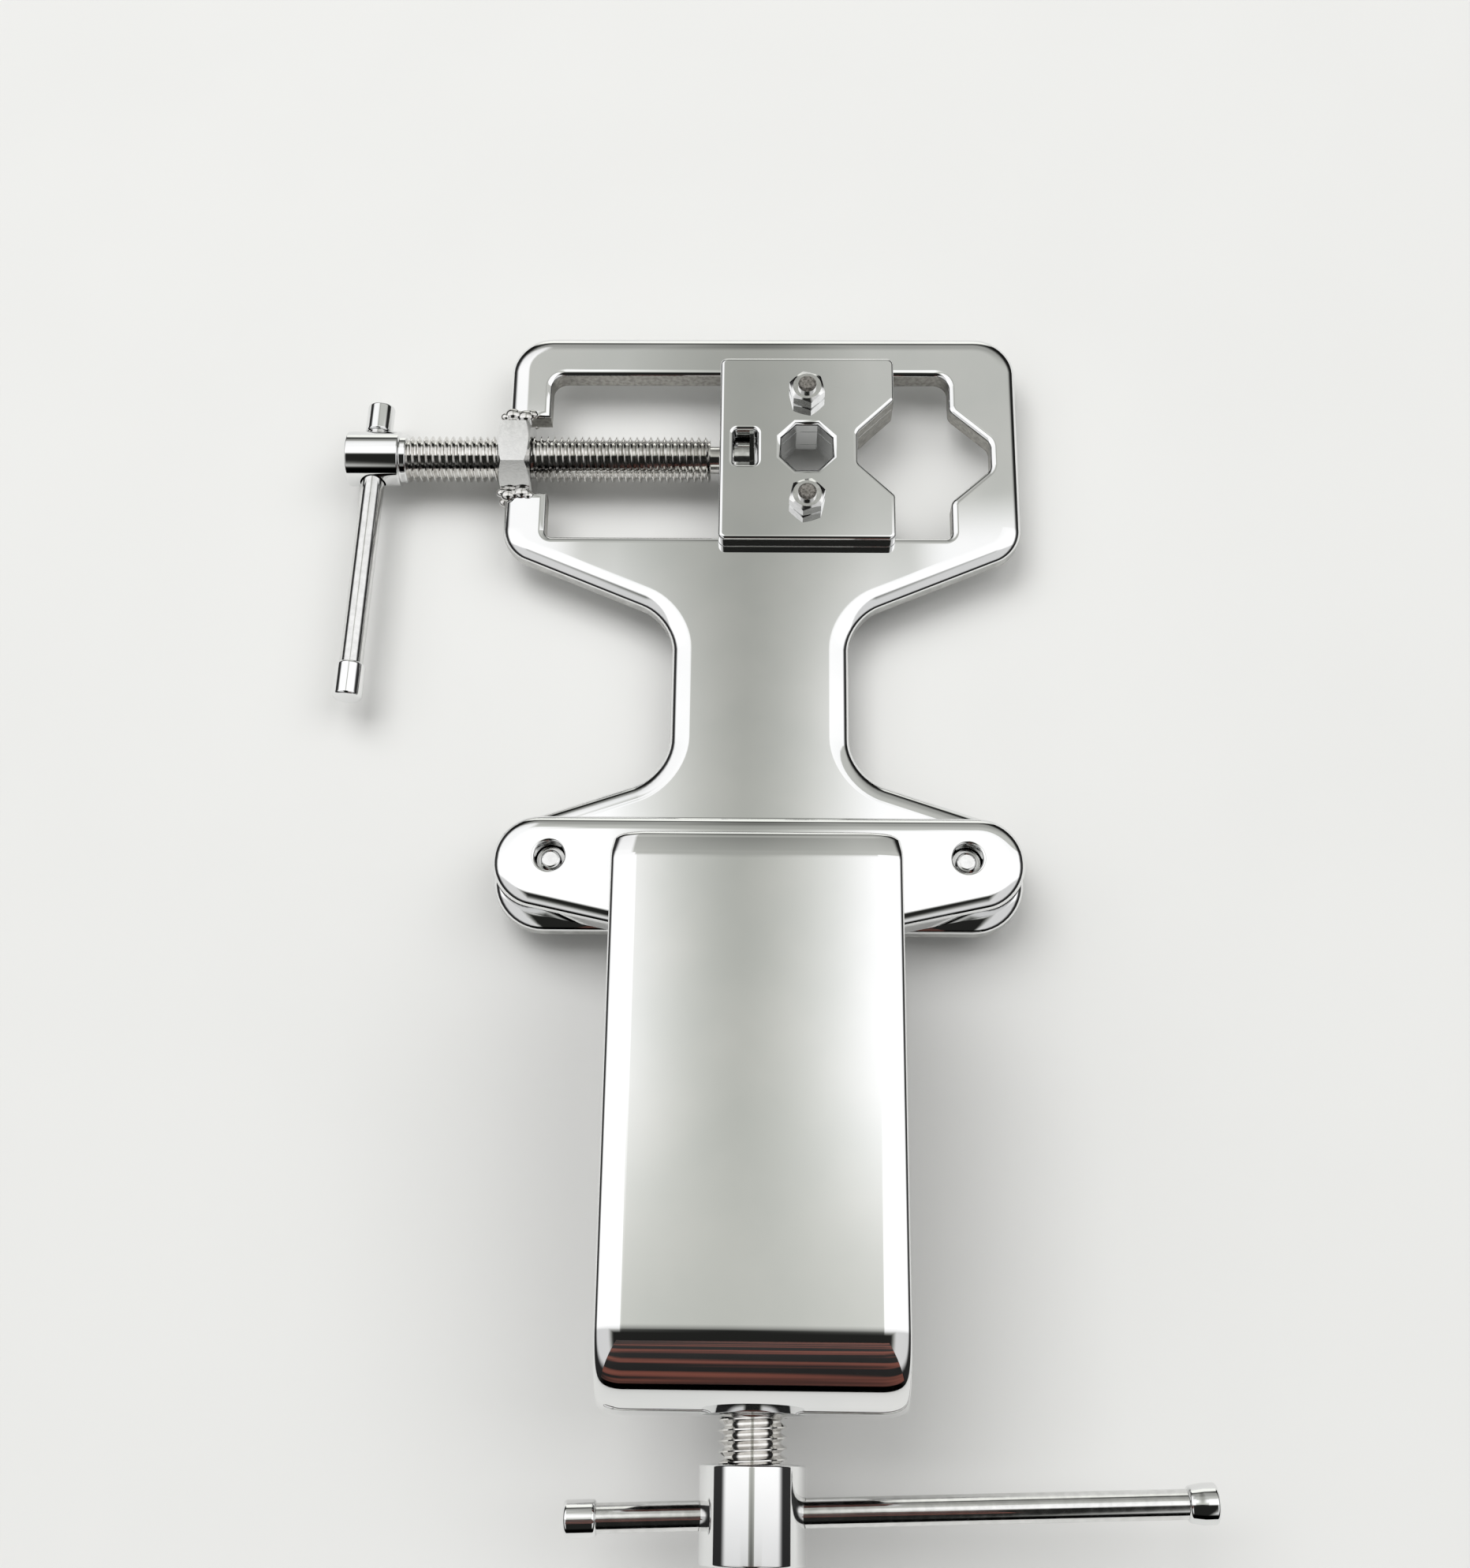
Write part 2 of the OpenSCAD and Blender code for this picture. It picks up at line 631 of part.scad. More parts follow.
module jaw_front() {
    color("gainsboro") difference() {
        union() {
            upright(jaw_front_y, tongue_front_y) jaw_outline(jaw_plate_h, jaw_corner_r);
            upright(jaw_front_y, tongue_back_y) jaw_outline(tongue_h, tongue_corner_r);
        }
        octagon_hole(jaw_front_y - over, tongue_back_y + over, octagon_af);
        octagon_hole(jaw_front_y - over, jaw_front_y + octagon_bevel, octagon_af + 2 * octagon_bevel);
        translate([slot_left_x, 0, axis_z - slot_h / 2]) upright(jaw_front_y - over, axis_y)
            rounded([[0, 0, slot_r], [slot_w, 0, slot_r], [slot_w, slot_h, slot_r], [0, slot_h, slot_r]]);
        screw_channel();
        jaw_bolt_holes(jaw_front_y - over, tongue_back_y + over);
    }
}

module jaw_back() {
    color("gainsboro") difference() {
        upright(tongue_back_y, jaw_back_y)
            rounded([[jaw_left_x, axis_z - jaw_plate_h / 2, jaw_corner_r],
                     [jaw_left_x + jaw_back_w, axis_z - jaw_plate_h / 2, jaw_corner_r],
                     [jaw_left_x + jaw_back_w, axis_z + jaw_plate_h / 2, jaw_corner_r],
                     [jaw_left_x, axis_z + jaw_plate_h / 2, jaw_corner_r]]);
        octagon_hole(tongue_back_y - over, jaw_back_y + over, octagon_af);
        screw_channel();
        jaw_bolt_holes(tongue_back_y - over, jaw_back_y + over);
    }
}

// Bolts that enter the jaw from behind, with their ends beyond the nuts
module jaw_bolts() {
    tip_y = jaw_front_y - bolt_nut_t - bolt_tip;
    head_z = jaw_back_y - tip_y;
    color("lightgray") for (side = [-1, 1]) {
        translate([jaw_mid_x, tip_y, axis_z + side * jaw_bolt_pitch / 2]) rotate([-90, 0, 0]) difference() {
            union() {
                cylinder(h = head_z, d = jaw_bolt_d);
                translate([0, 0, head_z]) cylinder(h = bolt_head_h, d1 = bolt_head_d,
                                                   d2 = bolt_head_d - bolt_head_h / 2);
            }
            for (turn = [0, 90]) {
                rotate(turn) translate([-bolt_head_d / 4, -jaw_bolt_d / 10, head_z + bolt_head_h / 2])
                    cube([bolt_head_d / 2, jaw_bolt_d / 5, bolt_head_h]);
            }
        }
    }
}

module jaw_bolt_nuts() {
    color("lightgray") for (side = [-1, 1]) {
        translate([jaw_mid_x, jaw_front_y - bolt_nut_t, axis_z + side * jaw_bolt_pitch / 2])
            rotate([-90, 0, 0]) hex_nut(bolt_nut_af, bolt_nut_t, jaw_bolt_d + 2 * press_fit);
    }
}

// Threaded rod with a spigot for the head, the neck that turns in the jaw, and a seat for the collar
module jaw_screw_rod() {
    color("darkgray") {
        rod_x(jaw_head_right_x - jaw_spigot_len, thread_start_x + over, jaw_spigot_d);
        rod_x(thread_start_x, thread_end_x, jaw_thread_d);
        rod_x(thread_end_x - over, collar_left_x, jaw_neck_d);
        rod_x(collar_left_x - over, collar_right_x, collar_seat_d);
    }
}

module jaw_screw_head() {
    color("silver") difference() {
        union() {
            translate([jaw_head_left_x, axis_y, axis_z]) rotate([0, 90, 0])
                bevelled_bar(jaw_head_len, jaw_head_d, turned_bevel);
            rod_x(jaw_head_right_x - over, thread_start_x, jaw_thread_d + 2 * shoulder_step);
        }
        rod_x(jaw_head_right_x - jaw_spigot_len, thread_start_x + over, jaw_spigot_d + 2 * press_fit);
        translate([jaw_hole_x, axis_y, axis_z - jaw_head_d]) cylinder(h = 2 * jaw_head_d, d = jaw_hole_d);
    }
}

// Collar pressed on the rod's end, which pushes and pulls the jaw
module jaw_screw_collar() {
    color("silver") difference() {
        rod_x(collar_left_x, collar_right_x, collar_d);
        rod_x(collar_left_x - over, collar_right_x + over, collar_seat_d + 2 * press_fit);
    }
}

// Sleeve that a bar's end is swaged into; its open end is on the XY plane
module end_sleeve(len, d) {
    difference() {
        bevelled_bar(len, d, (d - bar_d) / 4);
        translate([0, 0, -over]) cylinder(h = bar_seat + over, d = bar_d + 2 * press_fit);
    }
}

module jaw_bar() {
    color("silver") on_jaw_bar() translate([0, 0, -jaw_bar_reach - bar_seat])
        cylinder(h = jaw_bar_reach + cap_start + 2 * bar_seat, d = bar_d);
}

module jaw_bar_cap() {
    color("silver") on_jaw_bar() translate([0, 0, cap_start]) end_sleeve(cap_len, cap_d);
}

module jaw_bar_knob() {
    color("silver") on_jaw_bar() translate([0, 0, -jaw_bar_reach]) mirror([0, 0, 1])
        end_sleeve(knob_len, knob_d);
}

// Threaded rod with a spigot for the head below and the grooved pivot for the pad above
module clamp_screw_rod() {
    color("darkgray") difference() {
        union() {
            rod_z(head_top - clamp_spigot_len, head_top + over, clamp_spigot_d);
            rod_z(head_top, hub_bottom_z - shoulder_gap, clamp_thread_d);
            rod_z(hub_bottom_z - shoulder_gap - over, pivot_top_z, pivot_d);
        }
        difference() {
            rod_z(ring_z, ring_z + ring_t, pivot_d + over);
            rod_z(ring_z - over, ring_z + ring_t + over, ring_groove_d);
        }
    }
}

module clamp_screw_head() {
    color("silver") difference() {
        translate([0, 0, head_top - clamp_head_len])
            bevelled_bar(clamp_head_len, clamp_head_d, turned_bevel);
        rod_z(head_top - turned_bevel, head_top + over, clamp_thread_d + 2 * head_recess_rim);
        rod_z(head_top - clamp_spigot_len, head_top + over, clamp_spigot_d + 2 * press_fit);
        translate([-clamp_head_d, 0, clamp_hole_z]) rotate([0, 90, 0])
            cylinder(h = 2 * clamp_head_d, d = clamp_hole_d);
    }
}

// Swivel pad: a flat disc on a hub, bored from below and grooved inside for the snap ring
module clamp_pad() {
    color("silver") difference() {
        union() {
            translate([0, 0, pad_under_z]) bevelled_bar(pad_t, pad_d, turned_bevel);
            rod_z(hub_bottom_z, pad_under_z + turned_bevel, hub_d);
        }
        rod_z(hub_bottom_z - over, pad_under_z, pivot_d + 2 * run_fit);
        rod_z(ring_z - ring_gap, ring_z + ring_t + ring_gap, ring_d + 2 * ring_gap);
    }
}

module pad_snap_ring() {
    color("dimgray") difference() {
        rod_z(ring_z, ring_z + ring_t, ring_d);
        rod_z(ring_z - over, ring_z + ring_t + over, ring_groove_d + 2 * press_fit);
    }
}

module clamp_bar() {
    color("silver") on_clamp_bar() translate([0, 0, -clamp_bar_left - bar_seat])
        cylinder(h = clamp_bar_left + clamp_bar_right + 2 * bar_seat, d = bar_d);
}

module clamp_bar_knob() {
    color("silver") on_clamp_bar() translate([0, 0, -clamp_bar_left]) mirror([0, 0, 1])
        end_sleeve(end_knob_len, knob_d);
}

// Cap that flares out from the bar and ends in a short cylinder
module clamp_bar_cap() {
    flare_start_d = (bar_d + flare_d) / 2;
    color("silver") on_clamp_bar() translate([0, 0, clamp_bar_right]) difference() {
        union() {
            cylinder(h = flare_len / 2, d1 = flare_start_d, d2 = flare_d);
            translate([0, 0, flare_len / 2]) cylinder(h = flare_len / 2 - turned_bevel, d = flare_d);
            translate([0, 0, flare_len - turned_bevel])
                cylinder(h = turned_bevel, d1 = flare_d, d2 = flare_d - 2 * turned_bevel);
        }
        translate([0, 0, -over]) cylinder(h = bar_seat + over, d = bar_d + 2 * press_fit);
    }
}

clamp_body();
vise_plate();
foot_screws();
jaw_nut();
weld_beads();
jaw_front();
jaw_back();
jaw_bolts();
jaw_bolt_nuts();
jaw_screw_rod();
jaw_screw_head();
jaw_screw_collar();
jaw_bar();
jaw_bar_cap();
jaw_bar_knob();
clamp_screw_rod();
clamp_screw_head();
clamp_pad();
pad_snap_ring();
clamp_bar();
clamp_bar_knob();
clamp_bar_cap();
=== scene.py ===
"""Looks of a lock picking vise: chromed plates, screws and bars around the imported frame."""

import math

import bmesh
import bpy
from bpy.props import FloatProperty, FloatVectorProperty, IntProperty, PointerProperty, StringProperty
from bpy.types import Operator, Panel, PropertyGroup
from mathutils import Matrix, Vector


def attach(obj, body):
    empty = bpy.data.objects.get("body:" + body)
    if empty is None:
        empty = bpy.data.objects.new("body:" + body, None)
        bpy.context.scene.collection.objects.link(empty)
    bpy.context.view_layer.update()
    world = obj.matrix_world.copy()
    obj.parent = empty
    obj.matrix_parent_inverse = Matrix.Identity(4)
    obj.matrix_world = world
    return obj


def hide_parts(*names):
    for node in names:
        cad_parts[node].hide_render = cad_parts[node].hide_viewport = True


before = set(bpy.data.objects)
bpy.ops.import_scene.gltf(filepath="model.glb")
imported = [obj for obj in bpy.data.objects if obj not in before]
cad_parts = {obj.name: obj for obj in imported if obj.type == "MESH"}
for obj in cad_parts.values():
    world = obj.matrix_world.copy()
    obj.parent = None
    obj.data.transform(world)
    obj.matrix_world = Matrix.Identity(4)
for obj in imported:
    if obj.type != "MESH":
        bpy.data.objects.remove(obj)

bl_info = {
    "name": "Lock Picking Vise",
    "version": (1, 0, 0),
    "blender": (4, 5, 0),
    "location": "View3D > Sidebar > Vise",
    "description": "Builds the vise's chromed plates, threads, bars, stage and light",
    "category": "Object",
}

# Lengths inside the mesh code are millimetres; finished meshes are scaled to metres.
MM = 0.001
# Points this near to a level are on it, and points this near to each other are one.
ON_LEVEL, ONE_POINT = 0.001, 0.0005
# Depths along Y, from the side that the photo shows towards the back.
SPINE_FRONT, FLANGE_FRONT, JAW_FRONT, JAW_STEP = -29, 9, 12.4, 15.9
PLATE_FRONT, PLATE_BACK, JAW_SPLIT, JAW_BACK = 16, 21, 21.1, 24.1
# Where each tommy bar passes through its screw's head.
JAW_BAR_X, CLAMP_BAR_Z = -85.2, -100.4


# Properties
class ViseShape(PropertyGroup):
    """Where the outlines' corners lie, in millimetres"""

    axis_y: FloatProperty(name="Axis depth", description="Y of the jaw screw's axis", default=18.5)
    axis_z: FloatProperty(name="Axis height", description="Z of the jaw screw's axis", default=114.8)
    head_w: FloatProperty(name="Head width", description="Width of the plate's head", default=112)
    neck_w: FloatProperty(name="Neck width", description="Width of the plate's neck", default=37.2)
    foot_w: FloatProperty(name="Foot width", description="Width of the plate's foot", default=107)
    plate_fillet: FloatProperty(name="Plate fillet", description="Width of the plate's rounded outer edges",
                                default=4.2, min=0.5, max=6)
    window_fillet: FloatProperty(name="Window fillet", description="Width of the window's rounded edges",
                                 default=1.5, min=0.2, max=2)
    jaw_fillet: FloatProperty(name="Jaw fillet", description="Rounding of the jaw's front edges",
                              default=0.9, min=0.2, max=1.4)
    body_w: FloatProperty(name="Body width", description="Width of the clamp body's bar", default=52)
    cushion_w: FloatProperty(name="Cushion width", description="How far the rounding reaches across the bar",
                             default=4.8)
    cushion_depth: FloatProperty(name="Cushion depth", description="How far it reaches into the bar",
                                 default=1.5)
    hole_pitch: FloatProperty(name="Screw pitch", description="Distance between the foot screws",
                              default=83)
    hole_z: FloatProperty(name="Screw height", description="Z of the foot screws' axes", default=20.7)
    arc_steps: IntProperty(name="Arc steps", description="Segments in a rounded corner",
                           default=12, min=4, max=32)
    turn_steps: IntProperty(name="Turn steps", description="Segments around a turned piece",
                            default=96, min=24, max=192)


class ViseThread(PropertyGroup):
    """Threads of the two screws, in millimetres"""

    jaw_pitch: FloatProperty(name="Jaw pitch", description="Pitch of the jaw screw", default=1.5)
    clamp_pitch: FloatProperty(name="Clamp pitch", description="Pitch of the clamp screw", default=1.75)
    depth_share: FloatProperty(name="Depth share", description="Thread depth as a share of the pitch",
                               default=0.58)
    steps: IntProperty(name="Steps", description="Segments in one turn of thread", default=48)


class ViseStage(PropertyGroup):
    """Camera and surroundings"""

    camera_at: FloatVectorProperty(name="Camera place", description="Where the camera stands",
                                   default=(0.002395, -0.34211, -0.088), subtype="TRANSLATION",
                                   unit="LENGTH")
    yaw: FloatProperty(name="Yaw", description="Turn about Z, to the left", unit="ROTATION",
                       default=math.radians(1.169))
    tilt: FloatProperty(name="Tilt", description="Upward tilt", unit="ROTATION",
                        default=math.radians(19.434))
    roll: FloatProperty(name="Roll", description="Turn about the view's axis", unit="ROTATION",
                        default=math.radians(-0.756))
    lens: FloatProperty(name="Lens", description="Focal length in millimetres", default=42.54)
    floor_y: FloatProperty(name="Floor", description="Plane that the vise lies on with its back",
                           default=0.0273, unit="LENGTH")
    floor_hex: StringProperty(name="Floor colour", description="sRGB colour of the white sheet",
                              default="E6E6E4")


# Mesh tools
def rounded_face(bm, corners, level, steps):
    """One face through corners given as (x, z, rounding), at depth level along Y."""
    verts = [bm.verts.new((c[0], level, c[1])) for c in corners]
    bm.faces.new(verts)
    places = [Vector((c[0], c[1])) for c in corners]
    for i, vert in enumerate(verts):
        radius = corners[i][2]
        if radius > 0:
            back = places[i - 1] - places[i]
            ahead = places[(i + 1) % len(corners)] - places[i]
            cut = radius / math.tan(back.angle(ahead) / 2)
            bmesh.ops.bevel(bm, geom=[vert], offset=cut, offset_type="OFFSET", segments=steps,
                            profile=0.5, affect="VERTICES", clamp_overlap=False)


def made_verts(out):
    """The vertices among a bmesh operator's results."""
    return [g for g in out["geom"] if isinstance(g, bmesh.types.BMVert)]


def near_level(edge, level):
    """Whether an edge lies at one depth along Y."""
    return all(abs(v.co.y - level) < ON_LEVEL for v in edge.verts)


def middle(edge):
    """X and Z of an edge's middle."""
    one, other = (v.co for v in edge.verts)
    return (one.x + other.x) / 2, (one.z + other.z) / 2


def rim(bm, level):
    """The edges at one depth between a flat face and a wall."""
    return [e for e in bm.edges if len(e.link_faces) == 2 and near_level(e, level)
            and e.calc_face_angle(0) > 0.5]


def fill_level(bm, level, faces):
    """Fills one flat face of a slab anew, so that no triangle is folded over after the fillets."""
    bmesh.ops.delete(bm, geom=faces, context="FACES")
    edges = [e for e in bm.edges if e.is_boundary and near_level(e, level)]
    bmesh.ops.triangle_fill(bm, use_beauty=True, edges=edges, normal=(0, -1, 0))


def slab(outer, holes, front, back, rims=(), back_r=0.0, steps=12, segments=8, squash=1.0):
    """A plate between two depths along Y, with rounded rims.

    holes are corner lists, or (x, z, radius) for round ones. rims are (width, test) pairs: the front
    edges whose middle passes the test take a rounding that wide, and squash times as shallow.
    """
    bm = bmesh.new()
    near, far = front * squash, back * squash
    for hole in holes:
        if isinstance(hole, tuple):
            turn = Matrix.Translation((hole[0], near, hole[1])) @ Matrix.Rotation(math.pi / 2, 4, "X")
            bmesh.ops.create_circle(bm, cap_ends=True, radius=hole[2], segments=48, matrix=turn)
        else:
            rounded_face(bm, hole, near, steps)
    rounded_face(bm, outer, near, steps)
    bmesh.ops.delete(bm, geom=list(bm.faces), context="FACES_ONLY")
    bmesh.ops.remove_doubles(bm, verts=list(bm.verts), dist=0.02)
    bmesh.ops.triangle_fill(bm, use_beauty=True, edges=list(bm.edges), normal=(0, -1, 0))
    out = bmesh.ops.extrude_face_region(bm, geom=list(bm.faces), use_keep_orig=True)
    bmesh.ops.translate(bm, vec=(0, far - near, 0), verts=made_verts(out))
    bmesh.ops.recalc_face_normals(bm, faces=list(bm.faces))
    for level, width, test in [(near, *one) for one in rims] + [(far, back_r, None)]:
        if width:
            kept = bm.faces.layers.int.get("flat") or bm.faces.layers.int.new("flat")
            for face in bm.faces:
                face[kept] = all(near_level(e, level) for e in face.edges)
            edges = [e for e in rim(bm, level) if test is None or test(*middle(e))]
            out = bmesh.ops.bevel(bm, geom=edges, offset=width, offset_type="OFFSET", segments=segments,
                                  profile=0.5, affect="EDGES", clamp_overlap=False, material=-1)
            new = set(out["faces"])
            fill_level(bm, level, [f for f in bm.faces if f[kept] and f not in new])
    bmesh.ops.recalc_face_normals(bm, faces=list(bm.faces))
    return moved(bm, Matrix.Diagonal((1, 1 / squash, 1, 1)))


def turned(profile, steps, edge_r=0.0, segments=3):
    """A piece turned about Z from (radius, height) points, its sharp rings rounded by edge_r."""
    bm = bmesh.new()
    verts = [bm.verts.new((r, 0, h)) for r, h in profile]
    edges = [bm.edges.new(pair) for pair in zip(verts, verts[1:])]
    bmesh.ops.spin(bm, geom=verts + edges, cent=(0, 0, 0), axis=(0, 0, 1), dvec=(0, 0, 0),
                   angle=2 * math.pi, steps=steps, use_merge=True)
    bmesh.ops.remove_doubles(bm, verts=list(bm.verts), dist=ONE_POINT)
    bmesh.ops.recalc_face_normals(bm, faces=list(bm.faces))
    if edge_r:
        rings = [e for e in bm.edges if len(e.link_faces) == 2 and e.calc_face_angle(0) > 0.45
                 and abs(e.verts[0].co.z - e.verts[1].co.z) < ON_LEVEL]
        bmesh.ops.bevel(bm, geom=rings, offset=edge_r, offset_type="OFFSET", segments=segments,
                        profile=0.5, affect="EDGES", clamp_overlap=True, material=-1)
    return bm


def threaded(radius, pitch, depth, low, high, steps):
    """A threaded rod along Z: one turn of a tooth is spun up a screw line, repeated and cut to length."""
    bm = bmesh.new()
    inner = radius - depth
    # One tooth: radius, and how far along the pitch.
    tooth = ((inner, 0.0), (inner, 0.12), (radius, 0.46), (radius, 0.58), (inner, 0.92), (inner, 1.0))
    turns = math.ceil((high - low) / pitch) + 2
    verts = [bm.verts.new((r, 0, low + (share - 1.5) * pitch)) for r, share in tooth]
    edges = [bm.edges.new(pair) for pair in zip(verts, verts[1:])]
    bmesh.ops.spin(bm, geom=verts + edges, cent=(0, 0, 0), axis=(0, 0, 1), use_duplicate=False,
                   dvec=(0, 0, pitch / steps), angle=2 * math.pi, steps=steps)
    one = list(bm.verts) + list(bm.edges) + list(bm.faces)
    for i in range(1, turns):
        out = bmesh.ops.duplicate(bm, geom=one)
        bmesh.ops.translate(bm, vec=(0, 0, i * pitch), verts=made_verts(out))
    bmesh.ops.remove_doubles(bm, verts=list(bm.verts), dist=ONE_POINT)
    for height, side in ((low, -1), (high, 1)):
        bmesh.ops.bisect_plane(bm, geom=list(bm.verts) + list(bm.edges) + list(bm.faces),
                               plane_co=(0, 0, height), plane_no=(0, 0, side), clear_outer=True)
        ends = [e for e in bm.edges if e.is_boundary and abs(e.verts[0].co.z - height) < ON_LEVEL]
        bmesh.ops.edgenet_fill(bm, edges=ends)
    bmesh.ops.recalc_face_normals(bm, faces=list(bm.faces))
    return bm


def hexagon(across, low, high):
    """A hexagonal prism along Z, with a corner towards X."""
    bm = bmesh.new()
    radius = across / math.sqrt(3)
    turn = Matrix.Translation((0, 0, (low + high) / 2)) @ Matrix.Rotation(math.pi / 6, 4, "Z")
    bmesh.ops.create_cone(bm, cap_ends=True, segments=6, radius1=radius, radius2=radius, depth=high - low,
                          matrix=turn)
    return bm


def hex_nut(across, thick, steps, face_share=0.475):
    """A nut standing on the XY plane, its corners bevelled off at 30 degrees at both ends."""
    face = face_share * across
    far = face + thick / 2 / math.tan(math.radians(30))
    cones = turned([(0, 0), (face, 0), (far, thick / 2), (face, thick), (0, thick)], steps)
    return carved(hexagon(across, 0, thick), cones, "INTERSECT")


def moved(bm, *matrices):
    """The mesh after each matrix in turn."""
    for matrix in matrices:
        bmesh.ops.transform(bm, matrix=matrix, verts=list(bm.verts))
    return bm


def joined(*parts):
    """Several meshes in one."""
    whole = bmesh.new()
    for part in parts:
        mesh = bpy.data.meshes.new("part")
        part.to_mesh(mesh)
        part.free()
        whole.from_mesh(mesh)
        bpy.data.meshes.remove(mesh)
    return whole


def carved(bm, other, operation="DIFFERENCE"):
    """The mesh after a Boolean with another one, worked out at once."""
    objects = []
    for name, source in (("carve_a", bm), ("carve_b", other)):
        mesh = bpy.data.meshes.new(name)
        source.to_mesh(mesh)
        source.free()
        obj = bpy.data.objects.new(name, mesh)
        bpy.context.scene.collection.objects.link(obj)
        objects.append(obj)
    boolean = objects[0].modifiers.new("Carve", "BOOLEAN")
    boolean.operation = operation
    boolean.solver = "EXACT"
    boolean.object = objects[1]
    bpy.context.view_layer.update()
    result = bmesh.new()
    result.from_object(objects[0], bpy.context.evaluated_depsgraph_get())
    for obj in objects:
        bpy.data.meshes.remove(obj.data)
    return result


def flat_areas(bm):
    """For each face, the whole area of the flat patch that it belongs to."""
    bm.faces.ensure_lookup_table()
    areas = [0.0] * len(bm.faces)
    seen = set()
    for face in bm.faces:
        if face.index in seen:
            continue
        seen.add(face.index)
        patch, queue = [], [face]
        while queue:
            one = queue.pop()
            patch.append(one)
            for edge in one.edges:
                for other in edge.link_faces:
                    if other.index not in seen and other.normal.dot(face.normal) > 0.999999:
                        seen.add(other.index)
                        queue.append(other)
        total = sum(one.calc_area() for one in patch)
        for one in patch:
            areas[one.index] = total
    return areas


def corner_normals(bm, sharp):
    """A normal for each face corner: smooth across edges under the sharp angle, ruled by the widest flat."""
    bm.faces.index_update()
    areas = flat_areas(bm)
    limit = math.cos(math.radians(sharp))
    normals = []
    for face in bm.faces:
        for loop in face.loops:
            total = Vector()
            for other in loop.vert.link_faces:
                if other.normal.dot(face.normal) > limit:
                    total += other.normal * areas[other.index] ** 2
            normals.append(total.normalized() if total.length > 0 else face.normal)
    return normals


def place(name, bm, body, materials, replaces=(), sharp=35, second=None):
    """The finished object in metres, with its normals, riding on its body.

    Faces for which second is true take the second material.
    """
    bm.normal_update()
    normals = corner_normals(bm, sharp)
    for face in bm.faces:
        face.smooth = True
        if second and second(face):
            face.material_index = 1
    bmesh.ops.scale(bm, vec=(MM, MM, MM), verts=list(bm.verts))
    mesh = bpy.data.meshes.new(name)
    bm.to_mesh(mesh)
    bm.free()
    mesh.normals_split_custom_set(normals)
    obj = bpy.data.objects.new(name, mesh)
    bpy.context.scene.collection.objects.link(obj)
    for one in materials:
        mesh.materials.append(one)
    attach(obj, body)
    if replaces:
        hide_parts(*replaces)


# Materials
def linear(hex_colour, share=1.0):
    """A linear RGBA colour from an sRGB hex one."""
    parts = [int(hex_colour[i:i + 2], 16) / 255 for i in (0, 2, 4)]
    return [share * (c / 12.92 if c <= 0.04045 else ((c + 0.055) / 1.055) ** 2.4) for c in parts] + [1]


def add(tree, kind, inputs=None, **settings):
    """A node with its settings; an input that is a socket is linked, any other value is set."""
    made = tree.nodes.new(kind)
    for key, value in settings.items():
        setattr(made, key, value)
    for key, value in (inputs or {}).items():
        if isinstance(value, bpy.types.NodeSocket):
            tree.links.new(value, made.inputs[key])
        else:
            made.inputs[key].default_value = value
    return made


def spread(tree, value, low, high, from_low=0.0, from_high=1.0, smooth=False):
    """A value mapped from one range to another."""
    return add(tree, "ShaderNodeMapRange",
               {"Value": value, "From Min": from_low, "From Max": from_high, "To Min": low, "To Max": high},
               interpolation_type="SMOOTHSTEP" if smooth else "LINEAR").outputs["Result"]


def mix_colour(tree, factor, first, second):
    """A colour between two, by a factor."""
    return add(tree, "ShaderNodeMix", {0: factor, 6: first, 7: second}, data_type="RGBA").outputs[2]


def noise(tree, size_mm, detail=2.0, stretch=(1, 1, 1)):
    """Noise in object space whose features are about size_mm wide, stretched along each axis."""
    spot = add(tree, "ShaderNodeTexCoord").outputs["Object"]
    scale = 1 / (size_mm * MM)
    mapped = add(tree, "ShaderNodeMapping", {"Vector": spot, "Scale": [scale / s for s in stretch]})
    return add(tree, "ShaderNodeTexNoise", {"Vector": mapped.outputs["Vector"], "Scale": 1.0,
                                            "Detail": detail}).outputs["Fac"]


def metal(name, dark, light, rough, mottle_mm, grain_mm, grain_depth_mm):
    """A metal whose colour and roughness wander with a coarse noise, and whose surface has a fine grain."""
    made = bpy.data.materials.new(name)
    made.use_nodes = True
    tree = made.node_tree
    shader = tree.nodes["Principled BSDF"]
    shader.inputs["Metallic"].default_value = 1.0
    mottle = noise(tree, mottle_mm, 3.0)
    colour = mix_colour(tree, spread(tree, mottle, 0, 1, 0.35, 0.65), linear(dark), linear(light))
    tree.links.new(colour, shader.inputs["Base Color"])
    tree.links.new(spread(tree, mottle, rough[0], rough[1], 0.35, 0.65), shader.inputs["Roughness"])
    bump = add(tree, "ShaderNodeBump", {"Height": noise(tree, grain_mm), "Strength": 1.0,
                                        "Distance": grain_depth_mm * MM})
    tree.links.new(bump.outputs["Normal"], shader.inputs["Normal"])
    return made


